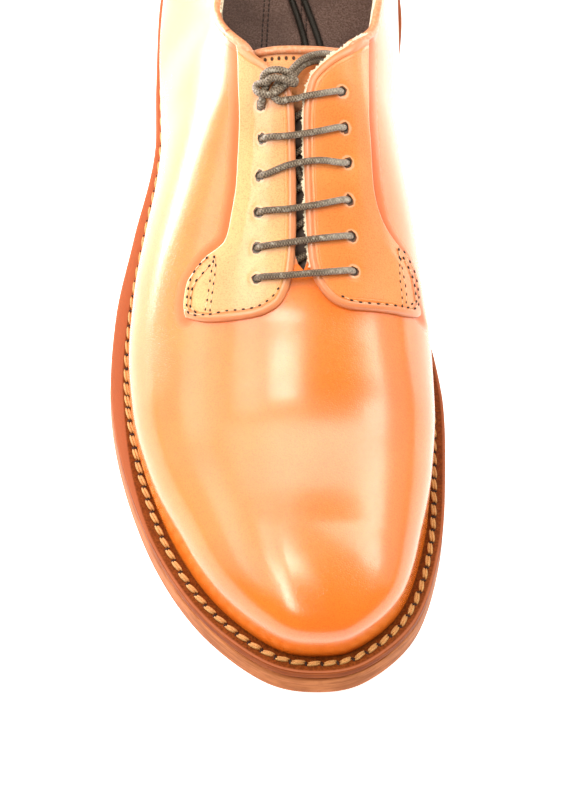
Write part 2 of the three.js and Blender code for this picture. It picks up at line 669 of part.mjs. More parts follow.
function addTongue() {
  const top = form(-WALL - LACE_ROOM);
  const sheet = top.subtract(form(-WALL - LACE_ROOM - TONGUE_THICK))
    .intersect(column(planOutline(TONGUE)));
  const root = form(-WALL - SEAT_GAP).subtract(form(-WALL - LACE_ROOM - TONGUE_THICK))
    .intersect(column(TONGUE_ROOT));
  add('tongue', geometryFrom(sheet.add(root)), TAN, 0.35);
}

// Ropes: a section of eight sides drawn along a curve
function rope(points, radius, steps, sides = 8) {
  const section = new THREE.Shape(Array.from({ length: sides }, (_, i) => {
    const turn = (2 * Math.PI * (i + 0.5)) / sides;
    return new THREE.Vector2(radius * Math.cos(turn), radius * Math.sin(turn));
  }));
  const path = points.length === 2 ? new THREE.LineCurve3(...points) : new THREE.CatmullRomCurve3(points);
  const geometry = new THREE.ExtrudeGeometry(section, { steps, extrudePath: path, bevelEnabled: false });
  return facingOut(geometryOf(Array.from(geometry.getAttribute('position').array)));
}

function between(from, to, height, steps) {
  return Array.from({ length: steps + 1 }, (_, i) => {
    const t = i / steps;
    return above(from.x + (to.x - from.x) * t, from.a + (to.a - from.a) * t, height);
  });
}

function addLace() {
  const radius = LACE_DIAMETER / 2;
  const over = FACING_THICK + 3 * SEAT_GAP + radius;
  const beneath = -(WALL + 2 * SEAT_GAP + radius);
  const top = EYELETS.length - 1;
  const runs = [];
  const through = (spot, reach) => [above(spot.x, spot.a, beneath), above(spot.x, spot.a, reach)];
  EYELETS.forEach((pair, i) => {
    const start = i === top ? TOP_BAR_END : pair.outer;
    const reach = i === top ? FACING_THICK : over;
    runs.push(rope(between(start, pair.inner, over, 4), radius, 4));
    runs.push(rope(through(pair.inner, over), radius, 1));
    runs.push(rope(through(pair.outer, reach), radius, 1));
    if (i > 0) runs.push(rope(between(pair.inner, EYELETS[i - 1].outer, beneath, 3), radius, 3));
  });
  runs.push(rope(between(EYELETS[0].inner, EYELETS[top].outer, beneath, 5), radius, 5));
  add('lace_bars', geometryFrom(runs.map(solidOf).reduce((all, run) => all.add(run))), LACE_BROWN, 0.6);

  const knot = new THREE.SphereGeometry(0.5, 12, 8);
  knot.rotateX(Math.PI / 2);
  knot.scale(KNOT.width, KNOT.depth, KNOT.height);
  knot.applyQuaternion(new THREE.Quaternion().setFromUnitVectors(
    new THREE.Vector3(0, 0, 1), outwardAt(KNOT.x, KNOT.a)));
  const middle = above(KNOT.x, KNOT.a, KNOT.over);
  knot.translate(middle.x, middle.y, middle.z);
  add('lace_knot', geometryFrom(solidOf(knot)), LACE_BROWN, 0.6);

  Object.entries(LACE_ENDS).forEach(([name, route], i) => {
    const points = route.map((p) => (p.z ? place(p.x, p.a, p.z) : above(p.x, p.a, p.over)));
    add(name, rope(points, radius, END_STEPS), LACE_BROWN, 0.6);
    const tip = points[points.length - 1];
    const ahead = tip.clone().sub(points[points.length - 2]).normalize();
    const near = tip.clone().addScaledVector(ahead, SEAT_GAP);
    const far = near.clone().addScaledVector(ahead, AGLET_LENGTH);
    add(`aglet_${i + 1}`, rope([near, far], radius + 0.05, 1), TIP_BROWN, 0.3);
  });
}

addSole();
addHeel();
addUpper();
addTongue();
addLace();

export default shoe;
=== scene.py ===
import math
import random

import bmesh
import bpy
import numpy as np
from mathutils import Matrix, Vector


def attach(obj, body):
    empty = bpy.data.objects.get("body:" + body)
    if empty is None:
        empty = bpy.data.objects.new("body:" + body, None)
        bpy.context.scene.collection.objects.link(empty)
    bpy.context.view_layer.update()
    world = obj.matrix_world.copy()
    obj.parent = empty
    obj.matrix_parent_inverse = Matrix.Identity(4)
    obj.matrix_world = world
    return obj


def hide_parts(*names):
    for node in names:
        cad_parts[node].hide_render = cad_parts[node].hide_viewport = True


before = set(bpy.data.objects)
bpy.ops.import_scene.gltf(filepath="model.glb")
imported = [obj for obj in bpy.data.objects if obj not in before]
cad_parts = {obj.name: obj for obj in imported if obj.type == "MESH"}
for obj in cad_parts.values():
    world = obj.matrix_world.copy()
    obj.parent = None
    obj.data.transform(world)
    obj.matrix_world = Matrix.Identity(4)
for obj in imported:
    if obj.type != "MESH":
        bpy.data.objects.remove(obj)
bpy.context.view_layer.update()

# Driving sizes of the shoe, in millimetres. place() turns them into the frame's metres.
LENGTH = 300
BALL_WIDTH = 112.4
INSTEP_HEIGHT = 107
HEEL_HEIGHT = 23.5
TOE_SPRING = 11
OUTSOLE_THICK = 7.7
WELT_THICK = 3
WALL = 2
FACING_THICK = 1.8
TONGUE_THICK = 2
INSOLE_THICK = 3
LACE_RADIUS = 1.15
KNOT_RADIUS = 1.1 * LACE_RADIUS
ROLL_RADIUS = 1.45
BEAD_RADIUS = 1.6
EYELET_RADIUS = 1.3
SEAT_GAP = 0.3
TOP_PIECE_THICK = 6
HEEL_LIFTS = 3
HEEL_BREAST = 76
BREAST_HOLLOW = 4
HEEL_TAPER = 2
WELT_LEDGE = 5
LACE_ROOM = 3.7
TOE_BULGE = 1
HEEL_BULGE = 2
TUCK = 0.3
HEEL_FLAT = 4.2
MIDDLE_X = -5.76
MIDDLE_A = 149.85
MM = 0.001

# The camera's place: its turn to the outer side, rise, roll, reach and target, and its lens
CAMERA_TURN = math.radians(-5.8)
CAMERA_RISE = math.radians(60)
CAMERA_ROLL = math.radians(-4)
CAMERA_REACH = 2.6
CAMERA_TARGET = Vector((0.00576, -0.04345, 0.02))
CAMERA_LENS = 347.5
CAMERA_SHIFT = -0.0119


def table(columns, *rows):
    """Rows with named columns."""
    return [dict(zip(columns.split(), row)) for row in rows]


# Sole profile: height of the outsole's underside, at: share of the length from the heel
PROFILE = table(
    "at under",
    (-0.05, HEEL_HEIGHT + 0.6),
    (0.19, HEEL_HEIGHT - 2.28),
    (0.25, HEEL_HEIGHT - 3),
    (0.333, 0.75 * HEEL_HEIGHT),
    (0.417, 0.53 * HEEL_HEIGHT),
    (0.5, 0.275 * HEEL_HEIGHT),
    (0.573, 0.08 * HEEL_HEIGHT),
    (0.627, 0),
    (0.713, 0),
    (0.8, 0.13 * TOE_SPRING),
    (0.9, 0.45 * TOE_SPRING),
    (1.03, 1.05 * TOE_SPRING),
)

# Edge of the sole from the heel back along the outer side to the toe and home. x: share of the
# ball width, at: share of the length, reach: welt that shows past the upper
OUTLINE = table(
    "x at reach",
    (0.0, 0.0, 2.5), (-0.21, 0.023, 2.5), (-0.325, 0.073, 2.5), (-0.367, 0.14, 2.5),
    (-0.386, 0.237, 2.5), (-0.4, 0.331, 3), (-0.468, 0.424, 4.5), (-0.53, 0.517, 6),
    (-0.551, 0.62, 6.5), (-0.517, 0.722, 6.6), (-0.431, 0.83, 6.6), (-0.304, 0.918, 6.6),
    (-0.129, 0.983, 6.6), (0.031, 0.999, 6.6), (0.178, 0.985, 6.4), (0.328, 0.927, 6),
    (0.413, 0.828, 5.5), (0.443, 0.717, 5), (0.443, 0.613, 4.5), (0.387, 0.507, 3.5),
    (0.317, 0.417, 3), (0.308, 0.333, 3), (0.347, 0.247, 2.5), (0.373, 0.153, 2.5),
    (0.335, 0.073, 2.5), (0.22, 0.023, 2.5),
)

# Sections of the upper. spine, outer, inner: shares of the ball width. side: of the instep
# height. outer_flat, inner_flat and steep: how flat the top and how upright the sides are
SECTIONS = table(
    "at spine side outer inner outer_flat inner_flat steep",
    (0.14, 0.01, 0.5, 0.352, 0.352, 1.3, 1.4, 1.5),
    (0.257, 0.027, 0.48, 0.381, 0.346, 1.55, 3.2, 1.1),
    (0.347, 0.03, 0.44, 0.382, 0.334, 2.6, 3, 1.45),
    (0.4, 0.028, 0.41, 0.4, 0.347, 2.7, 2.8, 1.55),
    (0.467, 0.024, 0.37, 0.442, 0.372, 2.6, 2.6, 1.6),
    (0.533, 0.02, 0.32, 0.48, 0.39, 2.4, 2.4, 1.7),
    (0.61, 0.01, 0.27, 0.5, 0.408, 2.2, 2.2, 1.8),
    (0.667, 0.0, 0.25, 0.493, 0.41, 2.1, 2.1, 1.9),
    (0.75, -0.01, 0.245, 0.447, 0.392, 2, 2, 2),
    (0.853, -0.045, 0.25, 0.335, 0.335, 1.95, 1.95, 2.1),
)

# Height of the ridge, share of the instep height: a soft saddle between instep and toe
RIDGE = table(
    "at ridge",
    (0.14, 1.1), (0.257, 1.1), (0.347, 0.967), (0.4, 0.902), (0.467, 0.798), (0.533, 0.7),
    (0.61, 0.604), (0.65, 0.572), (0.68, 0.5477), (0.713, 0.521), (0.74, 0.5057), (0.78, 0.492),
    (0.817, 0.479), (0.853, 0.461),
)

# Height of the collar's edge, share of the instep height
TOPLINE = table(
    "at height",
    (-0.1, 0.9), (0.03, 0.9), (0.12, 0.83), (0.2, 0.81),
    (0.26, 0.86), (0.3, 0.89), (0.335, 0.93), (0.36, 1.02),
)

# Edges of the collar's front and the throat in plan, x by the place along from the heel back
THROAT = table(
    "at outer inner",
    (78, -24.9, 29.2), (84, -24.6, 28.5), (90, -24, 28.2), (94.5, -22.7, 27.6),
    (98, -20.6, 25), (101, -17.6, 21), (104, -15.2, 17.8), (107, -12.5, 14.1),
    (110, -9.2, 10.5), (113, -6, 7.4), (116, -3.4, 5.4), (119, -1.8, 4.2),
    (122, -1.1, 3.6), (127, -0.8, 3), (140, -0.7, 2.9), (160, -1, 3.2),
    (168, -1.6, 3.6), (171.5, 1, 1),
)

# Edges of the two facings in plan: (x, along) from the top down to the front
FACINGS = {
    "facing_lateral": {
        "top": [(-19.2, 97.6), (-16.2, 102.1), (-13, 106.1), (-8.4, 110.2), (-6.2, 112.1),
                (-3.6, 115.1), (-1.6, 117.9)],
        "throat": [(-1.6, 117.9), (-0.7, 120.9), (-0.3, 125), (-0.2, 140), (-0.3, 151),
                   (-0.7, 162.8), (-1.8, 171.8), (-3.6, 177.9), (-6.8, 182.7), (-11.9, 185.4)],
        "outer": [(-19.2, 97.6), (-18.3, 105.4), (-18.4, 113.4), (-18.4, 125.8), (-19.3, 137.5),
                  (-20.1, 145.7), (-21.8, 153.5), (-22.8, 157.8), (-24.2, 161), (-27.1, 162.9),
                  (-30.1, 164.2), (-33.6, 167.2), (-36.3, 170.4), (-37.5, 174.9), (-37.8, 178.8),
                  (-37.4, 181.5)],
        "front": [(-37.4, 181.5), (-34.7, 183.3), (-30.6, 185), (-25.9, 185.8), (-21, 186.1),
                  (-16.2, 186), (-11.9, 185.4)],
    },
    "facing_medial": {
        "top": [(24.9, 96.9), (21.2, 100.1), (17.4, 103.9), (11.8, 108.3), (8.3, 111.3),
                (5.2, 114.7), (3.6, 118.9)],
        "throat": [(3.6, 118.9), (2.8, 122.7), (2.4, 128), (2.3, 136), (2.4, 144), (2.7, 158.4),
                   (3.2, 167.4), (4.3, 172.8), (6.3, 176.9), (9.3, 180.4), (12.6, 182.5),
                   (16.3, 183.4)],
        "outer": [(24.9, 96.9), (24.4, 107), (24.3, 117.5), (24.2, 124.4), (24.6, 130.3),
                  (24.9, 137.3), (25.4, 144.7), (26.9, 150.7), (29.6, 155.5), (33.4, 158.7),
                  (36.2, 160.4), (38.3, 163.6), (39.3, 169.5), (40, 173.1), (41.2, 176.1)],
        "front": [(41.2, 176.1), (39.5, 178.4), (36, 180.3), (32.7, 181.2), (26, 182.5),
                  (19.5, 183.3), (16.3, 183.4)],
    },
}
TONGUE_TOP = [(-17.5, 104.1), (-9, 104.6), (2.3, 105.1), (14, 105.2), (21, 103.8)]
TONGUE_SIDES = table("at left right", (102, -17.5, 21), (150, -15, 18), (190, -13, 15))

# Eyelets, lowest pair first, and how far the bar over them bows towards the toe
EYELETS = table(
    "outer inner bow",
    ((-13.9, 173.8), (17.9, 171.5), 0.6),
    ((-13.5, 164.5), (17.4, 161), 0.3),
    ((-12.7, 153.9), (16.7, 150.2), 0.9),
    ((-12.1, 143.1), (16.5, 139.3), -1.4),
    ((-11.1, 132.4), (15.7, 129.2), 0.8),
    ((-11.2, 122.7), (15.1, 118.7), 0),
)

# Rows of fine stitches on the facings: the front edges and the two D-shaped tabs
STITCHED = [
    [(-28.9, 183), (-23.4, 182.8), (-19.2, 183.1), (-13.9, 182.7), (-9.4, 180.4), (-6.9, 177.5)],
    [(-27.5, 166.5), (-28.2, 169.8), (-28.9, 173.7), (-29.7, 178.1), (-30.4, 181.1)],
    [(-27.2, 165.2), (-26.7, 168.2), (-27.3, 172), (-28, 175.9), (-28.9, 181.7)],
    [(-28.8, 167.6), (-31.4, 169.8), (-33.7, 171.9), (-34.8, 174.9), (-35.1, 179.4), (-33.7, 181)],
    [(-29.5, 164.9), (-32.4, 166.9), (-34.6, 169.7), (-35.8, 173.6), (-36.3, 178.9), (-35, 181.6),
     (-31.2, 182.6)],
    [(14.1, 179.8), (18.3, 180.9), (24.1, 180.5), (31.3, 179)],
    [(33.3, 163.2), (33.8, 166.5), (34.7, 170.9), (35, 173.7), (34.8, 176.4)],
    [(32.8, 160.3), (32.9, 164.5), (32.9, 169.9), (33.4, 174), (33.5, 178.2)],
    [(34.4, 162.2), (36.3, 164.7), (37.6, 167.2), (38.3, 171.7), (38.2, 174.9), (36.9, 175.8)],
    [(34.7, 160), (36.7, 162.1), (38.4, 164.8), (39.2, 169.3), (39.3, 173.7), (38.1, 176.5),
     (35.5, 177.8)],
]

# Double rows of stitches down the heel of the insole
INSOLE_ROWS = [
    [(-2.5, 22), (-4.5, 43), (-6.2, 62), (-8, 96)],
    [(9.6, 22), (8.3, 43), (7.5, 62), (6.4, 96)],
]
STITCH_PITCH = 2.75
WELT_PITCH = 5.3

# The knot, as (x, along, height over the upper): from the top outer eyelet round to one free
# end, and from the top bar through to the other
KNOT_OUTER = [
    (-11.3, 123.2, -0.8), (-11, 122.7, 2.2), (-10.4, 121.5, 3.6), (-10.3, 120.3, 3.8),
    (-10, 118.8, 3.4), (-9.2, 117.3, 3.5), (-9.8, 115.6, 4.1), (-9.4, 114.1, 4.7),
    (-7.6, 113.1, 5.3), (-5, 113.1, 5.7), (-2.7, 113.8, 5.4), (-1, 115, 4.3),
    (-0.1, 115.9, 3.9), (-0.1, 117, 3.9), (-1, 117.2, 5), (-2.5, 116.4, 5.9), (-5.4, 115.5, 5.9),
    (-7.7, 115.6, 5.7), (-8.4, 116.5, 5.3), (-9.8, 116.6, 5), (-11.7, 116.8, 4.4),
    (-12, 118.1, 4.6), (-10.6, 119.6, 5.6), (-7.9, 120.1, 5.3), (-5.5, 119.1, 4.7),
    (-3.9, 117.9, 3.7), (-2.1, 116.6, 3.2), (-0.6, 115.1, 3.4),
]
KNOT_INNER = [
    (-2.5, 121.7, 3.4), (-4.9, 122, 3.4), (-6.6, 120.9, 3.4), (-7, 119.5, 3.3),
    (-6.1, 117.7, 3), (-4.2, 115.8, 3), (-2.7, 114.6, 3.3), (-1.6, 113.6, 3.7),
]

# The two free ends of the lace: (x, along, height over the upper) out of the knot, then
# (x, along, height over the floor) inside the shoe
LACE_ENDS = {
    "lace_end_1": (
        [(-1.6, 113.6, 3.7), (0.8, 111, 2.8), (3.5, 108.9, 1), (7.1, 107.5, -1.4),
         (10.9, 106.9, -2.6), (13.8, 106.8, -3.4), (18, 105.9, -3.8), (21.6, 104.4, -4)],
        [(20.4, 100.6, 88.4), (20.9, 98.8, 82), (21.2, 97, 73), (20.8, 94.6, 63),
         (19.6, 91.4, 52), (17.9, 86.4, 42.6), (16.1, 78.6, 37), (14.2, 69, 36.8),
         (12.4, 60, 37.1), (10, 51, 37.5), (7.4, 42, 37.9), (4.6, 33, 38.2)],
    ),
    "lace_end_2": (
        [(-0.6, 115.1, 3.4), (1.8, 112.1, 1.4), (4.7, 110.1, -1.7), (8.4, 109, -3.9),
         (11.3, 108.9, -4.5), (15.5, 109.1, -4.2), (19, 109, -3.9), (21.6, 108.4, -4.2)],
        [(20.1, 105, 87), (20.6, 104.2, 81), (20.2, 103.4, 72), (18.8, 101.8, 61.6),
         (15.7, 99, 50), (13.2, 94.6, 40.8), (11.3, 87.6, 35.9), (10.1, 79, 36.2), (9, 70, 36.8),
         (7.6, 60, 37.1), (5.6, 51, 37.5), (3.2, 42, 37.9), (0.8, 33, 38.2)],
    ),
}
AGLET_LENGTH = 12

# Places along the shoe, and the mark of a point that is far from an edge
THROAT_BACK = THROAT[0]["at"]
THROAT_FRONT = THROAT[-1]["at"]
COLLAR_FRONT = 108
FACINGS_BACK, FACINGS_FRONT, FACINGS_LOWEST = 95, 190, 35
BEAD_SINKS, BEAD_FRONT = 103, 109
TONGUE_FRONT = 190
STITCHES_BACK = 66
MID_BACK, MID_FRONT = 42, 255
FAR = 60.0


def smooth(rows, key, at):
    """Value of a table's column, by a smooth curve that adds no bumps of its own."""
    last = len(rows) - 1
    if at <= rows[0]["at"]:
        return rows[0][key]
    if at >= rows[last]["at"]:
        return rows[last][key]

    def rise(i):
        return (rows[i + 1][key] - rows[i][key]) / (rows[i + 1]["at"] - rows[i]["at"])

    def slope(i):
        if i in (0, last):
            return rise(min(i, last - 1))
        before, after = rise(i - 1), rise(i)
        return 0 if before * after <= 0 else 2 * before * after / (before + after)

    i = 0
    while rows[i + 1]["at"] < at:
        i += 1
    span = rows[i + 1]["at"] - rows[i]["at"]
    t = (at - rows[i]["at"]) / span
    s = 1 - t
    ends = rows[i][key] * (1 + 2 * t) * s * s + rows[i + 1][key] * (1 + 2 * s) * t * t
    return ends + span * (slope(i) * t * s * s - slope(i + 1) * s * t * t)


def place(x, a, z):
    """A point by its millimetres across, along from the heel back, and up."""
    return Vector(((x - MIDDLE_X) * MM, (MIDDLE_A - a) * MM, z * MM))


def catmull(points, count, closed=False):
    """Evenly many points on a smooth curve through the given ones."""
    rows = np.array(points, float)
    if closed:
        rows = np.vstack([rows[-1:], rows, rows[:2]])
    else:
        rows = np.vstack([2 * rows[0] - rows[1], rows, 2 * rows[-1] - rows[-2]])
    spans = len(rows) - 3
    found = []
    for i in range(count):
        t = i / count * spans if closed else i / (count - 1) * spans
        k = min(int(t), spans - 1)
        t -= k
        p, q, r, s = rows[k:k + 4]
        bend = (2 * p - 5 * q + 4 * r - s) * t * t + (3 * q - p - 3 * r + s) * t ** 3
        found.append(0.5 * (2 * q + (r - p) * t + bend))
    return np.array(found)


def run_along(line):
    """Length along a line up to each of its points."""
    return np.concatenate([[0], np.cumsum(np.linalg.norm(np.diff(line, axis=0), axis=1))])


def length_of(line):
    return float(np.linalg.norm(np.diff(line, axis=0), axis=1).sum())


def eased(values, passes):
    """Evens out a row of values or points between its two ends."""
    values = np.array(values, float)
    for _ in range(passes):
        values[1:-1] = 0.25 * values[:-2] + 0.5 * values[1:-1] + 0.25 * values[2:]
    return values


def ramp(value, low, high):
    """0 below low, 1 above high and even between."""
    return min(max((value - low) / (high - low), 0), 1)


def evenly(points, count, start=0.0):
    """Points at even steps of length along a line, from a length into it to its end."""
    points = np.asarray(points, float)
    run = run_along(points)
    wanted = np.linspace(start, run[-1], count)
    return np.stack([np.interp(wanted, run, column) for column in points.T], 1)


# The bent sole
def under(a):
    return smooth(PROFILE, "under", a / LENGTH)


def lean(a):
    return math.atan(under(a + 0.5) - under(a - 0.5))


def on_sole(x, a, height):
    """A point of the sole, its height square to the bent underside."""
    return place(x, a - height * math.sin(lean(a)), under(a) + height * math.cos(lean(a)))


def layer_top(along, height):
    a = along
    for _ in range(4):
        a = along + height * math.sin(lean(a))
    return under(a) + height * math.cos(lean(a))


WELT_TOP = OUTSOLE_THICK + SEAT_GAP + WELT_THICK
UPPER_SEAT = WELT_TOP + SEAT_GAP
EDGE_STEPS = 416
CORNERS = [(p["x"] * BALL_WIDTH, p["at"] * LENGTH, p["reach"]) for p in OUTLINE]
EDGE = catmull(CORNERS, EDGE_STEPS, True)
AHEAD = np.roll(EDGE, -1, 0) - np.roll(EDGE, 1, 0)
INWARD = np.stack([AHEAD[:, 1], -AHEAD[:, 0]], 1) / np.hypot(AHEAD[:, 0], AHEAD[:, 1])[:, None]


def inset_ring(depth):
    """The sole's outline set in from its edge, depth(reach) deep."""
    set_in = np.array([depth(reach) for reach in EDGE[:, 2]])
    return EDGE[:, :2] + INWARD * set_in[:, None]


SEAM = np.array([
    (x, a - WELT_TOP * math.sin(lean(a))) for x, a in inset_ring(lambda reach: reach)])


def reach_of(ring, x, a, dx, da):
    """How far a ray in plan goes before it leaves a ring."""
    edge = np.roll(ring, -1, 0) - ring
    cross = dx * edge[:, 1] - da * edge[:, 0]
    cross[np.abs(cross) < 1e-9] = 1e-9
    px, pa = ring[:, 0] - x, ring[:, 1] - a
    t = (px * edge[:, 1] - pa * edge[:, 0]) / cross
    s = (px * da - pa * dx) / cross
    hit = (t > 0) & (s >= -1e-9) & (s <= 1 + 1e-9)
    return float(t[hit].max()) if hit.any() else 0.0


# The upper's form, by its solid's rule, with a soft saddle along the ridge
def section(key, a):
    return smooth(RIDGE if key == "ridge" else SECTIONS, key, a / LENGTH)


def half_at(a, side):
    """A section's spine, and the width and flatness of one half."""
    key = "outer" if side < 0 else "inner"
    spine = section("spine", a) * BALL_WIDTH
    return spine, section(key, a) * BALL_WIDTH - spine * side, section(key + "_flat", a)


FIRST = SECTIONS[0]["at"] * LENGTH
LAST = SECTIONS[-1]["at"] * LENGTH
ARCH_STEPS = 72
FINE_ARCH_STEPS = 240
TUCK_STEPS = 12


def rib(a, turn, side, steps=ARCH_STEPS):
    """Half a section from the ridge to the widest line, and on to the seam, as (x, a, z)."""
    spine, half, flat = half_at(a, side)
    top = section("ridge", a) * INSTEP_HEIGHT
    ahead = math.sin(turn)
    spread = abs(ahead)
    dx, da = side * math.cos(turn), ahead
    seam = reach_of(SEAM, spine, a, dx, da)
    flank = reach_of(SEAM, spine, a, side, 0)
    bulge = TOE_BULGE if ahead > 0 else HEEL_BULGE
    wide = seam + (half - flank) * (1 - spread) + bulge * spread
    foot = layer_top(a + seam * ahead, WELT_TOP)
    belly = foot + section("side", a) * INSTEP_HEIGHT - layer_top(a, WELT_TOP)
    if ahead < 0:
        flat = flat * (1 - spread) + HEEL_FLAT * spread
    steep = section("steep", a)
    slope = 0.0
    if ahead > 0:
        slope = (section("ridge", a) - section("ridge", a - 1)) * INSTEP_HEIGHT * ahead
    angle = np.linspace(0, math.pi / 2, steps)
    share = np.sin(angle) ** (2 / flat)
    height = (top - belly) * np.maximum(np.cos(angle), 0) ** (2 / steep)
    out = wide * share
    up = belly + height + slope * out * (1 - share)
    arch = np.stack([spine + out * dx, a + out * da, up], 1)
    t = np.linspace(0, 1, TUCK_STEPS)
    turn_z = foot + TUCK * (belly - foot)
    reach = wide * (1 - t * t) + seam * t * t
    drop = belly * (1 - t) ** 2 + 2 * turn_z * t * (1 - t) + foot * t * t
    return arch, np.stack([spine + reach * dx, a + reach * da, drop], 1)


def heel_rib(turn, steps=ARCH_STEPS):
    """A rib of the heel's fan, turned from the outer side round the back to the inner side."""
    past = turn > math.pi / 2
    return rib(FIRST, -(math.pi - turn if past else turn), 1 if past else -1, steps)


def surface_at(x, a):
    """Height of the upper's outer surface above a plan place between toe and heel fans."""
    side = -1 if x < section("spine", a) * BALL_WIDTH else 1
    spine, half, flat = half_at(a, side)
    share = min(abs(x - spine) / half, 1) ** (flat / 2)
    belly = section("side", a) * INSTEP_HEIGHT
    rise = section("ridge", a) * INSTEP_HEIGHT - belly
    return belly + rise * math.sqrt(1 - share * share) ** (2 / section("steep", a))


def outward_at(x, a):
    dx = (surface_at(x + 1, a) - surface_at(x - 1, a)) / 2
    da = (surface_at(x, a + 1) - surface_at(x, a - 1)) / 2
    return Vector((-dx, da, 1)).normalized()


def above(x, a, height):
    return place(x, a, surface_at(x, a)) + outward_at(x, a) * height * MM


def far_from(line, x, a):
    """Distance in plan from a line of (x, a) points."""
    line = np.asarray(line, float)
    start, run = line[:-1, :2], np.diff(line[:, :2], axis=0)
    off = np.array([x, a]) - start
    t = np.clip((off * run).sum(1) / (run * run).sum(1), 0, 1)
    return float(np.hypot(*(off - run * t[:, None]).T).min())


# Making pieces
def in_scene(name, data):
    made = bpy.data.objects.new(name, data)
    bpy.context.scene.collection.objects.link(made)
    return made


def written(name, mesh):
    """Writes a bmesh out as an object."""
    data = bpy.data.meshes.new(name)
    mesh.to_mesh(data)
    mesh.free()
    return in_scene(name, data)


def piece(name, mesh, finishes, node=None):
    """Turns a bmesh into a finished piece at the origin."""
    made = written(name, mesh)
    data = made.data
    for finish in finishes:
        data.materials.append(finish)
    data.shade_smooth()
    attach(made, "root")
    for each in node or ():
        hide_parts(each)
    return made


def sheet_of(columns, rows, point, marks=()):
    """A bmesh grid put in place by point(u, v), which gives a place, texture u and v, and marks."""
    mesh = bmesh.new()
    bmesh.ops.create_grid(mesh, x_segments=columns, y_segments=rows, size=0.5, calc_uvs=True)
    layers = [mesh.verts.layers.float.new(name) for name in marks]
    drawn = mesh.verts.layers.float_vector.new("drawn")
    for vertex in mesh.verts:
        spot, drawing, *values = point(vertex.co.x + 0.5, vertex.co.y + 0.5)
        vertex.co = spot
        vertex[drawn] = (*drawing, 0)
        for layer, value in zip(layers, values):
            vertex[layer] = value
    return mesh


def closed_up(mesh, distance=2e-6):
    """Merges what meets and turns the faces outwards."""
    bmesh.ops.remove_doubles(mesh, verts=mesh.verts, dist=distance)
    bmesh.ops.recalc_face_normals(mesh, faces=mesh.faces)
    return mesh


def joined(*meshes):
    """Several bmeshes as one."""
    whole = bmesh.new()
    for mesh in meshes:
        data = bpy.data.meshes.new("part")
        mesh.to_mesh(data)
        mesh.free()
        whole.from_mesh(data)
        bpy.data.meshes.remove(data)
    return whole


def finished(made, *modifiers):
    """Applies modifiers, each a kind and its settings."""
    for kind, settings in modifiers:
        modifier = made.modifiers.new(kind.lower(), kind)
        for name, value in settings.items():
            setattr(modifier, name, value)
    done = made.evaluated_get(bpy.context.evaluated_depsgraph_get())
    data = bpy.data.meshes.new_from_object(done)
    made.modifiers.clear()
    old = made.data
    made.data = data
    bpy.data.meshes.remove(old)
    data.name = made.name
    return made


def cord_mesh(points, radius, spacing=0.6, sides=12, taper=None):
    """A closed round tube along a line of points in metres."""
    curve = catmull(points, 12 * len(points))
    length = length_of(curve)
    steps = max(4, round(length / (spacing * MM)))
    line = evenly(curve, steps + 1)
    ways = np.gradient(line, axis=0)
    ways /= np.linalg.norm(ways, axis=1)[:, None]
    frames = []
    normal = Vector(ways[0]).orthogonal().normalized()
    for way in ways:
        way = Vector(way)
        normal = (normal - way * normal.dot(way)).normalized()
        frames.append((normal.copy(), way.cross(normal)))

    def point(u, v):
        k = round(u * (steps + 2)) - 1
        end = k < 0 or k > steps
        k = min(max(k, 0), steps)
        turn = 2 * math.pi * v
        size = radius * MM * (taper(k / steps) if taper else 1)
        rim = frames[k][0] * math.cos(turn) + frames[k][1] * math.sin(turn)
        spot = Vector(line[k]) + (Vector() if end else rim * size)
        return spot, (k / steps * length / MM, v)

    return closed_up(sheet_of(steps + 2, sides, point)), line


# Maths in materials: an expression on values adds its Math nodes
class Value:
    def __init__(self, finish, socket):
        self.finish = finish
        self.socket = socket

    def maths(self, operation, *values):
        return self.finish.node("ShaderNodeMath", *values, operation=operation)

    def __add__(self, other):
        return self.maths("ADD", self, other)

    def __sub__(self, other):
        return self.maths("SUBTRACT", self, other)

    def __rsub__(self, other):
        return self.maths("SUBTRACT", other, self)

    def __mul__(self, other):
        return self.maths("MULTIPLY", self, other)

    def __truediv__(self, other):
        return self.maths("DIVIDE", self, other)

    def __pow__(self, other):
        return self.maths("POWER", self, other)

    __rmul__ = __mul__

    def wave(self):
        return self.maths("SINE", self)

    def size(self):
        return self.maths("ABSOLUTE", self)

    def within(self, low, high):
        """0 below low, 1 above high and smooth between, or the other way round."""
        return self.finish.node("ShaderNodeMapRange", self, low, high, 0, 1,
                                interpolation_type="SMOOTHSTEP")


IN_BRIGHT_LIGHT = 0.82


def linear(colour):
    """A colour of 0 to 255, as it looks in the bright studio, as the shader's light values."""
    return [IN_BRIGHT_LIGHT * ((c / 255 + 0.055) / 1.055) ** 2.4 for c in colour] + [1]


def socket_name(key):
    return key.replace("_", " ").title().replace("Ior", "IOR")


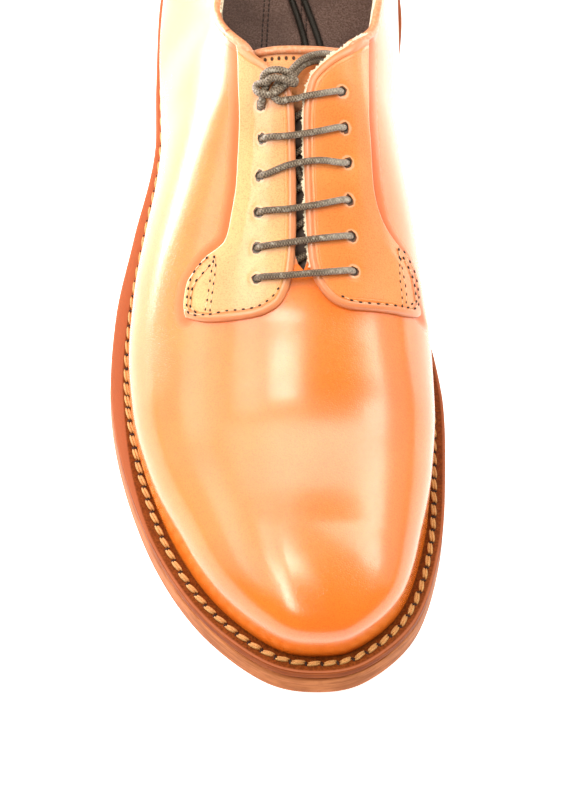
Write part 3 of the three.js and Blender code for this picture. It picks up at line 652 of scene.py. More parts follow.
class Finish:
    """A material. Values and colours are built up by its methods and given to the shader."""

    def __init__(self, name, **constants):
        self.material = bpy.data.materials.new(name)
        self.material.use_nodes = True
        self.tree = self.material.node_tree
        self.shader = self.tree.nodes["Principled BSDF"]
        for key, value in constants.items():
            self.shader.inputs[socket_name(key)].default_value = value

    def node(self, kind, *inputs, output=0, **settings):
        made = self.tree.nodes.new(kind)
        named = settings.pop("named", {})
        for key, value in settings.items():
            setattr(made, key, value)
        sockets = [s for s in made.inputs if s.enabled]
        wired = list(zip(sockets, inputs))
        wired += [(made.inputs[key], value) for key, value in named.items()]
        for socket, value in wired:
            if isinstance(value, Value):
                self.tree.links.new(value.socket, socket)
            elif value is not None:
                socket.default_value = value
        outputs = [s for s in made.outputs if s.enabled]
        return Value(self, outputs[output])

    def mark(self, name):
        """A number written on the piece's points."""
        return self.node("ShaderNodeAttribute", attribute_name=name, output=2)

    def drawing(self, stretch=(1, 1)):
        """The piece's own drawing, millimetres along and across."""
        made = self.node("ShaderNodeAttribute", attribute_name="drawn", output=1)
        return self.node("ShaderNodeMapping", made, named={"Scale": (*stretch, 1)})

    def spots(self):
        """Places on the object, in millimetres."""
        made = self.node("ShaderNodeTexCoord", output=3)
        return self.node("ShaderNodeMapping", made, named={"Scale": (1 / MM, 1 / MM, 1 / MM)})

    def noise(self, at, scale, detail=2.0, rough=0.5):
        return self.node("ShaderNodeTexNoise", named={
            "Vector": at, "Scale": scale, "Detail": detail, "Roughness": rough})

    def cells(self, at, scale):
        return self.node("ShaderNodeTexVoronoi", named={"Vector": at, "Scale": scale})

    def blend(self, share, first, second):
        """A colour between two, by a share."""
        made = self.tree.nodes.new("ShaderNodeMix")
        made.data_type = "RGBA"
        for index, value in ((0, share), (6, first), (7, second)):
            if isinstance(value, Value):
                self.tree.links.new(value.socket, made.inputs[index])
            else:
                made.inputs[index].default_value = value if index == 0 else linear(value)
        return Value(self, made.outputs[2])

    def split(self, vector, axis):
        return self.node("ShaderNodeSeparateXYZ", vector, output=axis)

    def give(self, **links):
        for key, value in links.items():
            self.tree.links.new(value.socket, self.shader.inputs[socket_name(key)])
        return self

    def done(self, colour, rough, relief, depth):
        """Gives the shader its colour, roughness and relief. The depth is in millimetres."""
        self.give(base_color=colour, roughness=rough)
        return self.bump(relief, depth).material

    def bump(self, height, depth):
        """Relief, its depth in millimetres."""
        made = self.node("ShaderNodeBump", named={
            "Strength": 1.0, "Distance": depth * MM, "Height": height})
        self.tree.links.new(made.socket, self.shader.inputs["Normal"])
        return self


# Colours that more than one material uses, or that the leather is mixed from
TAN = (250, 127, 34)
DEEP_TAN = (240, 104, 20)
SPECK_TAN = (228, 88, 16)
SHADOW_STRIP_TAN = (214, 96, 16)
# Painted light and shade on one leather: the lit outer facing and the shaded inner facing
LIT_FACING_TAN = (246, 180, 108)
SHADED_FACING_TAN = (244, 150, 70)
SALMON = (226, 138, 92)
DEEP_SALMON = (196, 96, 52)
CREAM = (246, 222, 190)
BURNT = (120, 62, 26)
EYELET_HOLE_SHADE = (60, 30, 14)
SHADED_BROWN = (46, 24, 12)
NEEDLE_HOLE_SHADE = (40, 20, 10)


def grain(finish, at):
    """Fine pores and a slow unevenness of smooth calf leather."""
    pores = finish.cells(at, 1.6).within(0.0, 0.55)
    fine = finish.noise(at, 2.6, 3.0, 0.6)
    return pores * 0.6 + fine * 0.4


def tan_leather(name, edges, ground=None, matt=0.17, coat=0.45):
    """Glossy smooth tan leather. edges(finish, colour) adds what lies along the piece's edges."""
    finish = Finish(name, coat_roughness=0.17, specular_ior_level=0.65)
    at = finish.spots()
    cloud = finish.noise(at, 0.035, 2.0).within(0.35, 0.65)
    speck = finish.noise(at, 1.9, 3.0, 0.8).within(0.44, 0.68)
    colour = ground(finish, at) if ground else TAN
    colour = finish.blend(cloud * 0.35, colour, DEEP_TAN)
    colour = finish.blend(speck * 0.5, colour, SPECK_TAN)
    relief = grain(finish, at)
    colour, relief, dull = edges(finish, colour, relief)
    rough = finish.noise(at, 0.5, 2.0) * 0.12 + matt + dull * 0.35
    finish.give(base_color=colour, roughness=rough, coat_weight=coat - dull * coat)
    finish.bump(relief, 1.0)
    return finish.material


def lit_side_ground(finish, at):
    """The outer facing is paler than the inner one: painted light, the outer side painted as lit
    and the inner side as shaded, on the facings and the tongue alike.
    """
    inner = finish.split(at, 0).within(2, 12)
    return finish.blend(inner, LIT_FACING_TAN, SHADED_FACING_TAN)


def band(mark, low, high, soft=0.25):
    """1 between two distances, with soft ends."""
    return mark.within(low - soft, low + soft) * mark.within(high + soft, high - soft)


def upper_edges(finish, colour, relief):
    collar = finish.mark("collar")
    beside = finish.mark("beside")
    seat = finish.mark("seat")
    colour = finish.blend(collar.within(4.2, 3.6) * 0.8, colour, SALMON)
    groove = band(collar, 3.9, 4.1, 0.3)
    colour = finish.blend(groove * 0.25, colour, BURNT)
    # Painted shadow: a darker orange strip on the upper beside the facings' outer edges, where the
    # facings' thickness casts shade; the strip is also made duller
    strip = beside.within(4.5, 1.2)
    colour = finish.blend(strip * 0.85, colour, SHADOW_STRIP_TAN)
    # Painted shade: darker next to the welt seam, in the crease where the upper meets the welt
    colour = finish.blend(seat.within(2.2, 0.4) * 0.5, colour, BURNT)
    relief = relief * 0.045 - groove * 0.12
    return colour, relief, strip


def facing_edges(finish, colour, relief):
    rim = finish.mark("rim")
    cut = finish.mark("cut")
    hole = finish.mark("hole")
    crease = band(rim, 2.3, 2.6, 0.25) + band(rim, 3.5, 3.7, 0.25) * 0.4
    colour = finish.blend(rim.within(2.5, 1.9) * 0.8, colour, SALMON)
    colour = finish.blend(crease * 0.5, colour, DEEP_SALMON)
    colour = finish.blend(cut.within(0.42, 0.3), colour, CREAM)
    colour = finish.blend(band(hole, 1.6, 2.2, 0.3) * 0.4, colour, CREAM)
    # Painted shade: the eyelet holes' walls and their inner rim are dark brown, standing for the
    # shade inside the holes
    colour = finish.blend(hole.within(1.5, 1.3) * 0.9, colour, EYELET_HOLE_SHADE)
    relief = relief * 0.045 - crease * 0.15
    return colour, relief, 0.0 * rim


def tongue_edges(finish, colour, relief):
    """A row of needle holes under the rolled top, and painted shade: a shadow just under the roll,
    in the needle holes, and on the part under the facings.
    """
    rim = finish.mark("rim")
    across = finish.split(finish.drawing(), 0) / STITCH_PITCH
    off_hole = (across - across.maths("ROUND", across)).size() * STITCH_PITCH
    far = (off_hole ** 2.0 + (rim - 2.9).size() ** 2.0) ** 0.5
    holes = far.within(0.75, 0.45)
    # Painted shadow: a darker band just under the rolled top
    colour = finish.blend(band(rim, 0.5, 2.2, 0.5) * 0.5, colour, BURNT)
    # Painted shade: the tongue more than 12 to 24 mm below its top, under the facings, is painted
    # near black-brown
    colour = finish.blend(rim.within(12, 24) * 0.93, colour, SHADED_BROWN)
    # Painted shade: the needle holes are dark spots, dented only in the relief
    colour = finish.blend(holes * 0.95, colour, NEEDLE_HOLE_SHADE)
    return colour, relief * 0.03 - holes * 0.3, holes


def salmon_leather():
    finish = Finish("burnished_edge", coat_weight=0.25, coat_roughness=0.2)
    at = finish.spots()
    worn = finish.noise(at, 0.8, 4.0, 0.7).within(0.4, 0.7)
    seam = band(finish.split(finish.drawing(), 0), 18.2, 18.9, 0.3)
    seam = seam * finish.split(at, 0).within(-14, -16)
    colour = finish.blend(seam * 0.8, finish.blend(worn * 0.35, SALMON, CREAM), BURNT)
    return finish.done(colour, finish.noise(at, 1.0) * 0.2 + 0.3, finish.noise(at, 2.5, 3.0), 0.06)


def raw_edge():
    finish = Finish("raw_edge", roughness=0.9)
    at = finish.spots()
    fibre = finish.noise(at, 3.0, 4.0, 0.7)
    colour = finish.blend(fibre.within(0.35, 0.7), (255, 246, 226), (250, 214, 168))
    finish.give(base_color=colour)
    return finish.bump(fibre, 0.3).material


def lining_leather():
    finish = Finish("lining_leather", specular_ior_level=0.05)
    at = finish.spots()
    collar = finish.mark("collar")
    fine = finish.noise(at, 1.5, 3.0, 0.6)
    dark = finish.blend(fine.within(0.3, 0.7), (66, 20, 12), (98, 38, 26))
    bare = finish.blend(fine.within(0.3, 0.7), (176, 130, 74), (140, 96, 52))
    colour = finish.blend(collar.within(8.5, 6.5), dark, bare)
    return finish.done(colour, fine * 0.2 + 0.5, fine + finish.cells(at, 0.9), 0.12)


def insole_leather():
    finish = Finish("insole_leather", specular_ior_level=0.35)
    at = finish.spots()
    pores = finish.cells(at, 1.1)
    fine = finish.noise(at, 1.8, 3.0, 0.65)
    cloud = finish.noise(at, 0.06, 2.0)
    colour = finish.blend(fine.within(0.35, 0.7), (92, 64, 56), (138, 106, 96))
    colour = finish.blend(cloud.within(0.4, 0.7) * 0.4, colour, (76, 48, 42))
    rim = finish.mark("rim")
    # Painted shade: darker towards the rim, next to the upper's walls
    colour = finish.blend(rim.within(14, 1) * 0.7, colour, (60, 28, 22))
    return finish.done(colour, fine * 0.2 + 0.42, pores + fine, 0.16)


def sole_edge(name, light, dark, stripe=0.0):
    """Cut leather seen on edge: fine streaks along the sole. drawn: along, and height."""
    finish = Finish(name, specular_ior_level=0.05)
    streak = finish.noise(finish.drawing(stretch=(0.05, 4.0)), 1.0, 4.0, 0.7)
    mottle = finish.noise(finish.spots(), 0.25, 3.0, 0.6)
    height = finish.split(finish.drawing(), 1)
    colour = finish.blend(streak.within(0.35, 0.65), dark, light)
    colour = finish.blend(mottle.within(0.45, 0.75) * 0.35, colour, dark)
    if stripe:
        middle = band(height, 0.38, 0.68, 0.08)
        colour = finish.blend(middle * stripe, colour, (110, 50, 22))
    return finish.done(colour, streak * 0.2 + 0.35, streak, 0.08)


def welt_top_leather():
    """Dark brown by the stitches, with painted highlight: redder and paler towards the edge, and
    most so behind the toe on the outer side, where the light falls.
    """
    finish = Finish("welt_leather", specular_ior_level=0.08)
    at = finish.spots()
    fine = finish.noise(at, 1.4, 3.0, 0.6)
    behind = finish.split(at, 1).within(-95, -35)
    outer = finish.split(at, 0).within(10, -10)
    # Painted highlight: paler along the edge's bevel, and across the whole top on the outer side
    # behind the toe
    lit_band = finish.mark("rim") - behind * outer * 3.2
    colour = finish.blend(fine.within(0.3, 0.7), (100, 46, 14), (142, 72, 28))
    colour = finish.blend(lit_band.within(1.3, 0.5), colour, (178, 104, 70))
    return finish.done(colour, fine * 0.2 + 0.4, fine, 0.1)


def heel_rubber():
    finish = Finish("heel_rubber", specular_ior_level=0.3)
    at = finish.spots()
    fine = finish.noise(at, 1.2, 3.0)
    colour = finish.blend(fine, (40, 30, 26), (62, 48, 40))
    return finish.done(colour, fine * 0.2 + 0.55, fine, 0.08)


def lace_cord():
    """Waxed round cord, its braid drawn slantwise round it."""
    finish = Finish("lace_cord", specular_ior_level=0.35)
    drawing = finish.drawing()
    along, round_ = finish.split(drawing, 0), finish.split(drawing, 1)
    along, round_ = along * 7.0, round_ * (8 * math.pi)
    one, two = (along + round_).wave(), (along - round_).wave()
    braid = one.within(-0.6, 0.9) * 0.5 + two.within(-0.6, 0.9) * 0.5
    at = finish.spots()
    wax_and_sheen = finish.noise(at, 0.7, 3.0, 0.6)
    # The braid's colour contrast is partly the weave and partly painted shade in its grooves and
    # painted highlight on its crowns
    colour = finish.blend(braid, (72, 55, 42), (154, 135, 116))
    # Pale spots: wax, and painted highlight on the cord
    colour = finish.blend(wax_and_sheen.within(0.5, 0.75) * 0.6, colour, (216, 206, 192))
    # Painted highlight, not wear: paler away from the middle of the lacing, mostly on the inner
    # side of the bars
    worn = (finish.split(at, 0) - 2.0).size().within(9, 17)
    colour = finish.blend(worn * 0.28, colour, (214, 206, 196))
    # Painted shade: the lace inside the shoe, behind the collar's front, is painted near black
    inside = finish.split(at, 1).within(42, 50)
    colour = finish.blend(inside * 0.93, colour, (26, 20, 17))
    return finish.done(colour, wax_and_sheen * 0.25 + 0.35, braid, 0.12)


def thread(name, light, dark):
    finish = Finish(name, roughness=0.55)
    at = finish.spots()
    fibre = finish.noise(at, 3.5, 3.0, 0.7)
    finish.give(base_color=finish.blend(fibre.within(0.35, 0.65), dark, light))
    return finish.bump(fibre, 0.15).material


def plain(name, colour, other, rough, **constants):
    finish = Finish(name, **constants)
    fine = finish.noise(finish.spots(), 1.5, 3.0)
    finish.give(base_color=finish.blend(fine, colour, other), roughness=fine * 0.15 + rough)
    return finish.material


# Camera
def make_camera():
    back = Vector((math.sin(CAMERA_TURN) * math.cos(CAMERA_RISE),
                   -math.cos(CAMERA_TURN) * math.cos(CAMERA_RISE), math.sin(CAMERA_RISE)))
    level = Vector((math.cos(CAMERA_TURN), math.sin(CAMERA_TURN), 0))
    upright = back.cross(level)
    right = level * math.cos(CAMERA_ROLL) - upright * math.sin(CAMERA_ROLL)
    upright = back.cross(right)
    data = bpy.data.cameras.new("camera")
    data.lens = CAMERA_LENS
    data.shift_x = CAMERA_SHIFT
    data.clip_end = 20
    made = in_scene("camera", data)
    turned = Matrix((right, upright, back)).transposed().to_4x4()
    made.matrix_world = Matrix.Translation(CAMERA_TARGET + back * CAMERA_REACH) @ turned
    bpy.context.scene.camera = made


make_camera()

LACE = lace_cord()
TIP = plain("lace_tip", (44, 34, 29), (66, 54, 46), 0.3, coat_weight=0.4)


# Laces
def make_lace_ends():
    for number, (name, (outside, inside)) in enumerate(LACE_ENDS.items(), 1):
        points = [above(*spot) for spot in outside] + [place(*spot) for spot in inside]
        mesh, line = cord_mesh(points, LACE_RADIUS)
        cord = piece(name.replace("lace", "cord"), mesh, [LACE], [name])
        way = (Vector(points[-1]) - Vector(points[-2])).normalized()
        near = points[-1] + way * SEAT_GAP * MM
        tip_points = [near + way * AGLET_LENGTH * MM * t / 4 for t in range(5)]

        def taper(t):
            return 0.9 if t in (0, 1) else 1.0

        tip, _ = cord_mesh(tip_points, LACE_RADIUS + 0.08, 0.5, 16, taper)
        aglet = piece(f"lace_tip_{number}", tip, [TIP], [f"aglet_{number}"])


make_lace_ends()


# The upper's skin
TOP_ROWS = 44
TUCK_ROWS = 8
STATION_SPACING = 2.0
HEEL_FAN = 44
TUCK_LENGTH = 22


def cut_at(arch, side):
    """Length along a rib's arch at which the leather starts: past the throat, below the collar."""
    length = run_along(arch)
    inside = np.full(len(arch), FAR)
    for k, (x, along, z) in enumerate(arch):
        if along < COLLAR_FRONT:
            inside[k] = smooth(TOPLINE, "height", along / LENGTH) * INSTEP_HEIGHT - z
        if THROAT_BACK <= along < THROAT_FRONT:
            edge = smooth(THROAT, "outer" if side < 0 else "inner", along)
            inside[k] = min(inside[k], (x - edge) * side)
    lost = np.nonzero(inside < 0)[0]
    if not len(lost):
        return 0.0
    k = lost[-1]
    share = inside[k] / (inside[k] - inside[k + 1])
    return length[k] + share * (length[k + 1] - length[k])


def rows_of(ribs, cuts):
    """Ribs as even rows from the top edge to the seam, with the lengths from both ends."""
    found = []
    for (arch, tuck), cut in zip(ribs, cuts):
        line = np.vstack([evenly(arch, TOP_ROWS + 1, cut), evenly(tuck, TUCK_ROWS + 1)[1:]])
        run = run_along(line)
        collar = run if cut > 0 else np.full(len(line), FAR)
        found.append(np.column_stack([line, collar, run[-1] - run]))
    return np.array(found)


OUTER_EDGES = [catmull(outline["outer"], 40) for outline in FACINGS.values()]


def shell_of(rows):
    """A strip of the skin through rows of (x, a, z, from the collar, from the seam)."""
    count, height = rows.shape[0] - 1, rows.shape[1] - 1

    def point(u, v):
        x, a, z, collar, seat = rows[round(u * count)][round(v * height)]
        beside = FAR
        if FACINGS_BACK < a < FACINGS_FRONT and z > FACINGS_LOWEST:
            beside = min(far_from(line, x, a) for line in OUTER_EDGES)
        return place(x, a, z), (a, v), collar, beside, seat

    return sheet_of(count, height, point, ("collar", "beside", "seat"))


def toe_cap_of():
    """The toe: half a square of rows over the ridge's end, with the tuck round its rim."""
    fans = {}

    def fan(turn, side):
        key = (round(turn, 5), side)
        if key not in fans:
            arch, tuck = rib(LAST, turn, side)
            fans[key] = (evenly(arch, 3 * TOP_ROWS + 1), evenly(tuck, TUCK_ROWS + 1))
        return fans[key]

    def spread(p, q):
        across = p * math.sqrt(1 - q * q / 2)
        forward = q * math.sqrt(1 - p * p / 2)
        share, turn = min(math.hypot(across, forward), 1.0), math.atan2(forward, abs(across))
        return share, turn, -1 if p < 0 else 1

    def top_point(u, v):
        share, turn, side = spread(2 * u - 1, v)
        arch, _ = fan(turn if share > 0 else 0, side)
        spot = share * (len(arch) - 1)
        k = min(int(spot), len(arch) - 2)
        x, a, z = arch[k] + (arch[k + 1] - arch[k]) * (spot - k)
        return place(x, a, z), (a, u), FAR, FAR, FAR

    rim = [(-1, k / TOP_ROWS) for k in range(TOP_ROWS)]
    rim += [(-1 + k / TOP_ROWS, 1) for k in range(2 * TOP_ROWS)]
    rim += [(1, 1 - k / TOP_ROWS) for k in range(TOP_ROWS + 1)]

    def tuck_point(u, v):
        _, turn, side = spread(*rim[round(u * (len(rim) - 1))])
        _, tuck = fan(turn, side)
        x, a, z = tuck[round(v * TUCK_ROWS)]
        return place(x, a, z), (a, v), FAR, FAR, (1 - v) * TUCK_LENGTH

    marks = ("collar", "beside", "seat")
    return [sheet_of(2 * TOP_ROWS, TOP_ROWS, top_point, marks),
            sheet_of(len(rim) - 1, TUCK_ROWS, tuck_point, marks)]


def make_upper():
    count = round((LAST - FIRST) / STATION_SPACING)
    stations = [FIRST + (LAST - FIRST) * k / count for k in range(count + 1)]
    strips = []
    ends = {}
    for side in (-1, 1):
        ribs = [rib(a, 0, side) for a in stations]
        open_top = [a < THROAT_FRONT for a in stations]
        cuts = [cut_at(arch, side) * top for (arch, _), a, top in zip(ribs, stations, open_top)]
        cuts = eased(cuts, 4) * open_top
        strips.append(shell_of(rows_of(ribs, cuts)))
        ends[side] = cuts[0]
    ribs = [heel_rib(math.pi * k / HEEL_FAN) for k in range(HEEL_FAN + 1)]
    cuts = [cut_at(arch, 1) for arch, _ in ribs]
    cuts[0], cuts[-1] = ends[-1], ends[1]
    strips.append(shell_of(rows_of(ribs, cuts)))
    whole = closed_up(joined(*strips, *toe_cap_of()), 2e-5)
    upper = piece("upper_leather", whole, [UPPER, LINING, RAW], ["upper"])
    if sum(p.normal.z * p.area for p in upper.data.polygons) < 0:
        upper.data.flip_normals()
    return finished(upper, ("SOLIDIFY", {
        "thickness": WALL * MM, "offset": -1, "use_rim": True, "use_even_offset": True,
        "material_offset": 1, "material_offset_rim": 2}))


UPPER = tan_leather("tan_leather", upper_edges)
FACING = tan_leather("facing_leather", facing_edges, lit_side_ground, 0.3, 0.2)
TONGUE = tan_leather("tongue_leather", tongue_edges, lit_side_ground, 0.45, 0)
LINING = lining_leather()
RAW = raw_edge()
BURNISHED = salmon_leather()
UPPER_PIECE = make_upper()


def hole_cutters():
    """Round bars through the eyelets, square to the leather."""
    mesh = bmesh.new()
    for pair in EYELETS:
        for x, a in (pair["outer"], pair["inner"]):
            turned = outward_at(x, a).to_track_quat("Z", "Y").to_matrix().to_4x4()
            bmesh.ops.create_cone(mesh, cap_ends=True, segments=28, radius1=EYELET_RADIUS * MM,
                                  radius2=EYELET_RADIUS * MM, depth=16 * MM,
                                  matrix=Matrix.Translation(above(x, a, 0)) @ turned)
    return written("punch", mesh)


# The facings
FACING_TOP = SEAT_GAP + FACING_THICK
FACING_ROWS = 100
FACING_COLUMNS = 56
FOLD = 2.1
FOLD_ROUND = 2.4
CUT_EDGE = 0.4


def crowded(t, share):
    """Even steps from 0 to 1 drawn together at both ends."""
    return t - share * math.sin(2 * math.pi * t) / (2 * math.pi)


def along_line(line, share):
    spot = share * (len(line) - 1)
    k = min(int(spot), len(line) - 2)
    return line[k] + (line[k + 1] - line[k]) * (spot - k)


def facing_side(outline, top_side):
    """One side of a facing: the top with its folded and cut edges, or the flat underside."""
    throat, outer, top, front = (
        evenly(catmull(outline[key], 120), 240) for key in ("throat", "outer", "top", "front"))
    folded = np.vstack([top, throat])
    holes = [pair[side] for pair in EYELETS for side in ("outer", "inner")]

    def point(u, v):
        u, v = crowded(u, 0.96), crowded(v, 0.93)
        sides = (1 - v) * along_line(outer, u) + v * along_line(throat, u)
        ends = (1 - u) * along_line(top, v) + u * along_line(front, v)
        corners = ((1 - u) * ((1 - v) * top[0] + v * top[-1])
                   + u * ((1 - v) * front[0] + v * front[-1]))
        x, a = sides + ends - corners
        rim = min(far_from(folded, x, a), far_from(front, x, a))
        cut = far_from(outer, x, a)
        hole = min(math.hypot(x - hx, a - ha) for hx, ha in holes)
        thick = 0.0
        if top_side:
            folded_up = (1 - max(0, 1 - rim / FOLD) ** FOLD_ROUND) ** (1 / FOLD_ROUND)
            cut_down = (1 - max(0, 1 - cut / CUT_EDGE) ** 2) ** 0.5
            skived = 0.6 + 0.4 * min(cut / 5, 1)
            pressed = 0.3 * math.exp(-max(hole - EYELET_RADIUS, 0) ** 2)
            groove = 0.22 * math.exp(-((rim - FOLD - 0.35) / 0.3) ** 2)
            thick = (FACING_THICK * skived - pressed - groove) * folded_up * cut_down
        return above(x, a, SEAT_GAP + thick), (x, a), rim, cut, hole

    return sheet_of(FACING_ROWS, FACING_COLUMNS, point, ("rim", "cut", "hole"))


def make_facings():
    punch = hole_cutters()
    punched = []
    for name, outline in FACINGS.items():
        mesh = closed_up(joined(facing_side(outline, True), facing_side(outline, False)), 5e-6)
        name_made = name.replace("facing", "facing_leather")
        punched.append(piece(name_made, mesh, [FACING], [name]))
    for made in (*punched, UPPER_PIECE):
        settings = {"object": punch, "operation": "DIFFERENCE", "solver": "EXACT"}
        finished(made, ("BOOLEAN", settings))
        made.data.set_sharp_from_angle(angle=math.radians(60))
    bpy.data.objects.remove(punch)


make_facings()


# The sole's layers
def mid_of(a):
    """Where an edge point runs in to on the sole's middle line."""
    along = min(max(a, MID_BACK), MID_FRONT)
    left = reach_of(EDGE[:, :2], 0, along, -1, 0)
    right = reach_of(EDGE[:, :2], 0, along, 1, 0)
    return (right - left) / 2, along


MIDS = [mid_of(a) for a in EDGE[:, 1]]
CAP_ROWS = 10


def layer_mesh(profile, low, high, closed_ring=False):
    """A layer of the sole. profile: (set in, height) from below round the edge to the top.

    The flat sides run in to the middle line, or the section closes as a ring."""
    rows = list(profile)
    count = len(rows)
    caps = 0 if closed_ring else CAP_ROWS
    total = count + 2 * caps - (0 if closed_ring else 1)
    run = run_along(EDGE[:, :2])

    def point(u, v):
        i = round(u * EDGE_STEPS) % EDGE_STEPS
        k = round(v * total)
        x, a, reach = EDGE[i]
        share = 0.0
        if closed_ring:
            depth, height = rows[k % count]
        elif k < caps:
            depth, height = rows[0]
            share = 1 - k / caps
        elif k >= caps + count:
            depth, height = rows[-1]
            share = (k - caps - count + 1) / caps
        else:
            depth, height = rows[k - caps]
        depth = depth(reach) if callable(depth) else depth
        x, a = np.array([x, a]) + INWARD[i] * depth
        mx, ma = MIDS[i]
        x, a = x + (mx - x) * share, a + (ma - a) * share
        rim = share * 40 + depth
        return on_sole(x, a, height), (run[i], (height - low) / (high - low)), rim

    return closed_up(sheet_of(EDGE_STEPS, total, point, ("rim",)), 1e-6)


def rounded(low, high, radius, steps=4):
    """Section of an edge with rounded corners: (set in, height) pairs from below to the top."""
    turns = [math.pi / 2 * k / steps for k in range(steps + 1)]
    rows = [(radius * (1 - math.sin(t)), low + radius * (1 - math.cos(t))) for t in turns]
    straight = high - low - 2 * radius
    rows += [(0, low + radius + straight * (k / steps)) for k in range(1, steps)]
    return rows + [(radius * (1 - math.cos(t)), high - radius * (1 - math.sin(t))) for t in turns]


def behind(more):
    """Set in so much further than the welt that shows."""
    return lambda reach: reach + more


def make_sole():
    edge = sole_edge("outsole_edge", (202, 126, 80), (158, 90, 52))
    outsole = layer_mesh(rounded(0, OUTSOLE_THICK, 0.9), 0, OUTSOLE_THICK)
    piece("outsole_leather", outsole, [edge], ["outsole"])
    low = OUTSOLE_THICK + SEAT_GAP
    welt_section = rounded(low, WELT_TOP, 0.5)
    inner = [(behind(WELT_LEDGE - 0.3), height) for height in (WELT_TOP, low)]
    welt = layer_mesh(welt_section + inner, low, WELT_TOP, True)
    finishes = [sole_edge("welt_edge", (168, 88, 44), (132, 60, 26), 0.3), welt_top_leather()]
    made = piece("welt_strip", welt, finishes, ["welt"])
    for face in made.data.polygons:
        if face.normal.z > 0.75:
            face.material_index = 1
    top = UPPER_SEAT + INSOLE_THICK
    rim = WALL + 1.0
    section = [(behind(rim + 0.4), UPPER_SEAT + 0.2), (behind(rim), UPPER_SEAT + 0.8),
               (behind(rim), top - 0.9), (behind(rim + 0.3), top - 0.3), (behind(rim + 1.0), top)]
    insole = layer_mesh(section, UPPER_SEAT, top)
    piece("insole_sock", insole, [insole_leather()], ["insole"])


def heel_outline(inset):
    """The heel's outline with its hollow front, as evenly many (x, a) points."""
    ring = EDGE[:, :2] + INWARD * inset
    half = EDGE_STEPS // 2
    sides = [p for p in np.vstack([ring[half:], ring[:half]]) if p[1] < HEEL_BREAST - 1]
    right = reach_of(ring, 0, HEEL_BREAST, 1, 0)
    left = -reach_of(ring, 0, HEEL_BREAST, -1, 0)
    breast = []
    for k in range(31):
        t = 2 * k / 30 - 1
        x = left * (1 - t) / 2 + right * (1 + t) / 2
        breast.append((x, HEEL_BREAST - BREAST_HOLLOW * (1 - t * t)))
    return np.vstack([sides, breast])


CORNER = 0.45
CORNER_SHARE = 0.08


def make_heel():
    lift_edge = sole_edge("heel_lift_edge", (196, 124, 88), (146, 80, 52))
    rubber = heel_rubber()
    lift = (under(HEEL_BREAST) - TOP_PIECE_THICK) / HEEL_LIFTS
    layers = [("heel_top_piece", 0.0, TOP_PIECE_THICK, rubber, "heel_rubber")]
    for k in range(HEEL_LIFTS):
        low = TOP_PIECE_THICK + k * lift
        layers.append((f"heel_lift_{k + 1}", low, low + lift, lift_edge, "sole_leather"))
    for name, low, high, finish, slot in layers:
        last = name == f"heel_lift_{HEEL_LIFTS}"
        section = rounded(0, 1, CORNER_SHARE, steps=3)
        outline = heel_outline(HEEL_TAPER * (1 - low / under(0)))
        upper_outline = heel_outline(HEEL_TAPER * (1 - high / under(0)))
        middle = outline.mean(0)
        total = len(section) + 1

        def point(u, v):
            i = round(u * len(outline)) % len(outline)
            k = round(v * total)
            row = section[min(max(k - 1, 0), len(section) - 1)]
            spot = outline[i] + (upper_outline[i] - outline[i]) * row[1]
            inward = (middle - spot) / np.linalg.norm(middle - spot)
            spot = spot + inward * CORNER * row[0] / CORNER_SHARE
            if k in (0, total):
                spot = middle
            top = under(spot[1]) - SEAT_GAP if last else high - 0.04
            if row[1] < 0.2:
                z = low + CORNER * row[1] / CORNER_SHARE
            elif row[1] > 0.8:
                z = top - CORNER * (1 - row[1]) / CORNER_SHARE
            else:
                z = low + (top - low) * row[1]
            return place(spot[0], spot[1], z), (i * 0.7, row[1])

        mesh = closed_up(sheet_of(len(outline), total, point))
        made = piece(name.replace("heel", "stack"), mesh, [finish], [name])
        made.data.set_sharp_from_angle(angle=math.radians(55))


make_sole()
make_heel()


# The tongue
def make_tongue():
    top = evenly(catmull(TONGUE_TOP, 60), 60)
    height = -(WALL + LACE_ROOM)

    def point(u, v):
        tx, ta = top[round(u * (len(top) - 1))]
        a = ta + (TONGUE_FRONT - ta) * v
        left, right = (smooth(TONGUE_SIDES, key, a) for key in ("left", "right"))
        share = (tx - top[0][0]) / (top[-1][0] - top[0][0])
        x = left + (right - left) * share
        return above(x, a, height), (x, a), a - ta

    mesh = closed_up(sheet_of(40, 56, point, ("rim",)))
    made = piece("tongue_leather", mesh, [TONGUE], ["tongue"])
    if sum(p.normal.z for p in made.data.polygons) < 0:
        made.data.flip_normals()
    finished(made, ("SOLIDIFY", {"thickness": TONGUE_THICK * MM, "offset": -1, "use_rim": True}),
             ("BEVEL", {"width": 0.5 * MM, "segments": 2, "limit_method": "ANGLE",
                        "angle_limit": math.radians(50), "profile": 0.5}))
    made.data.set_sharp_from_angle(angle=math.radians(50))
    ridge = [above(x, a + 0.4, height - 0.2) for x, a in top[::4]]
    roll, _ = cord_mesh(ridge, ROLL_RADIUS, 0.8, 16)
    piece("tongue_roll", roll, [BURNISHED])


make_tongue()


# The lace through the eyelets, and its knot
OVER = FACING_TOP + LACE_RADIUS + 0.1
BENEATH = -(WALL + SEAT_GAP + LACE_RADIUS + 0.3)


DIVE = ((-0.5, -0.6), (0.2, 1.3), (1.2, OVER - 0.5), (2.8, OVER))


def between(start, end, spots):
    """Points along a straight line: spots gives the share, the bow to the toe and the height."""
    (x0, a0), (x1, a1) = start, end
    return [(x0 + (x1 - x0) * t, a0 + (a1 - a0) * t + bow, height) for t, bow, height in spots]


def bar_points(start, end, sag=0.0):
    """A bar over the facings from one eyelet to the other, diving in at both ends."""
    run = math.hypot(end[0] - start[0], end[1] - start[1])
    spots = [(along / run, 0, height) for along, height in DIVE]
    spots += [(t, sag * math.sin(math.pi * t), OVER) for t in (0.3, 0.5, 0.7)]
    spots += [(1 - along / run, 0, height) for along, height in DIVE[::-1]]
    return between(start, end, spots)


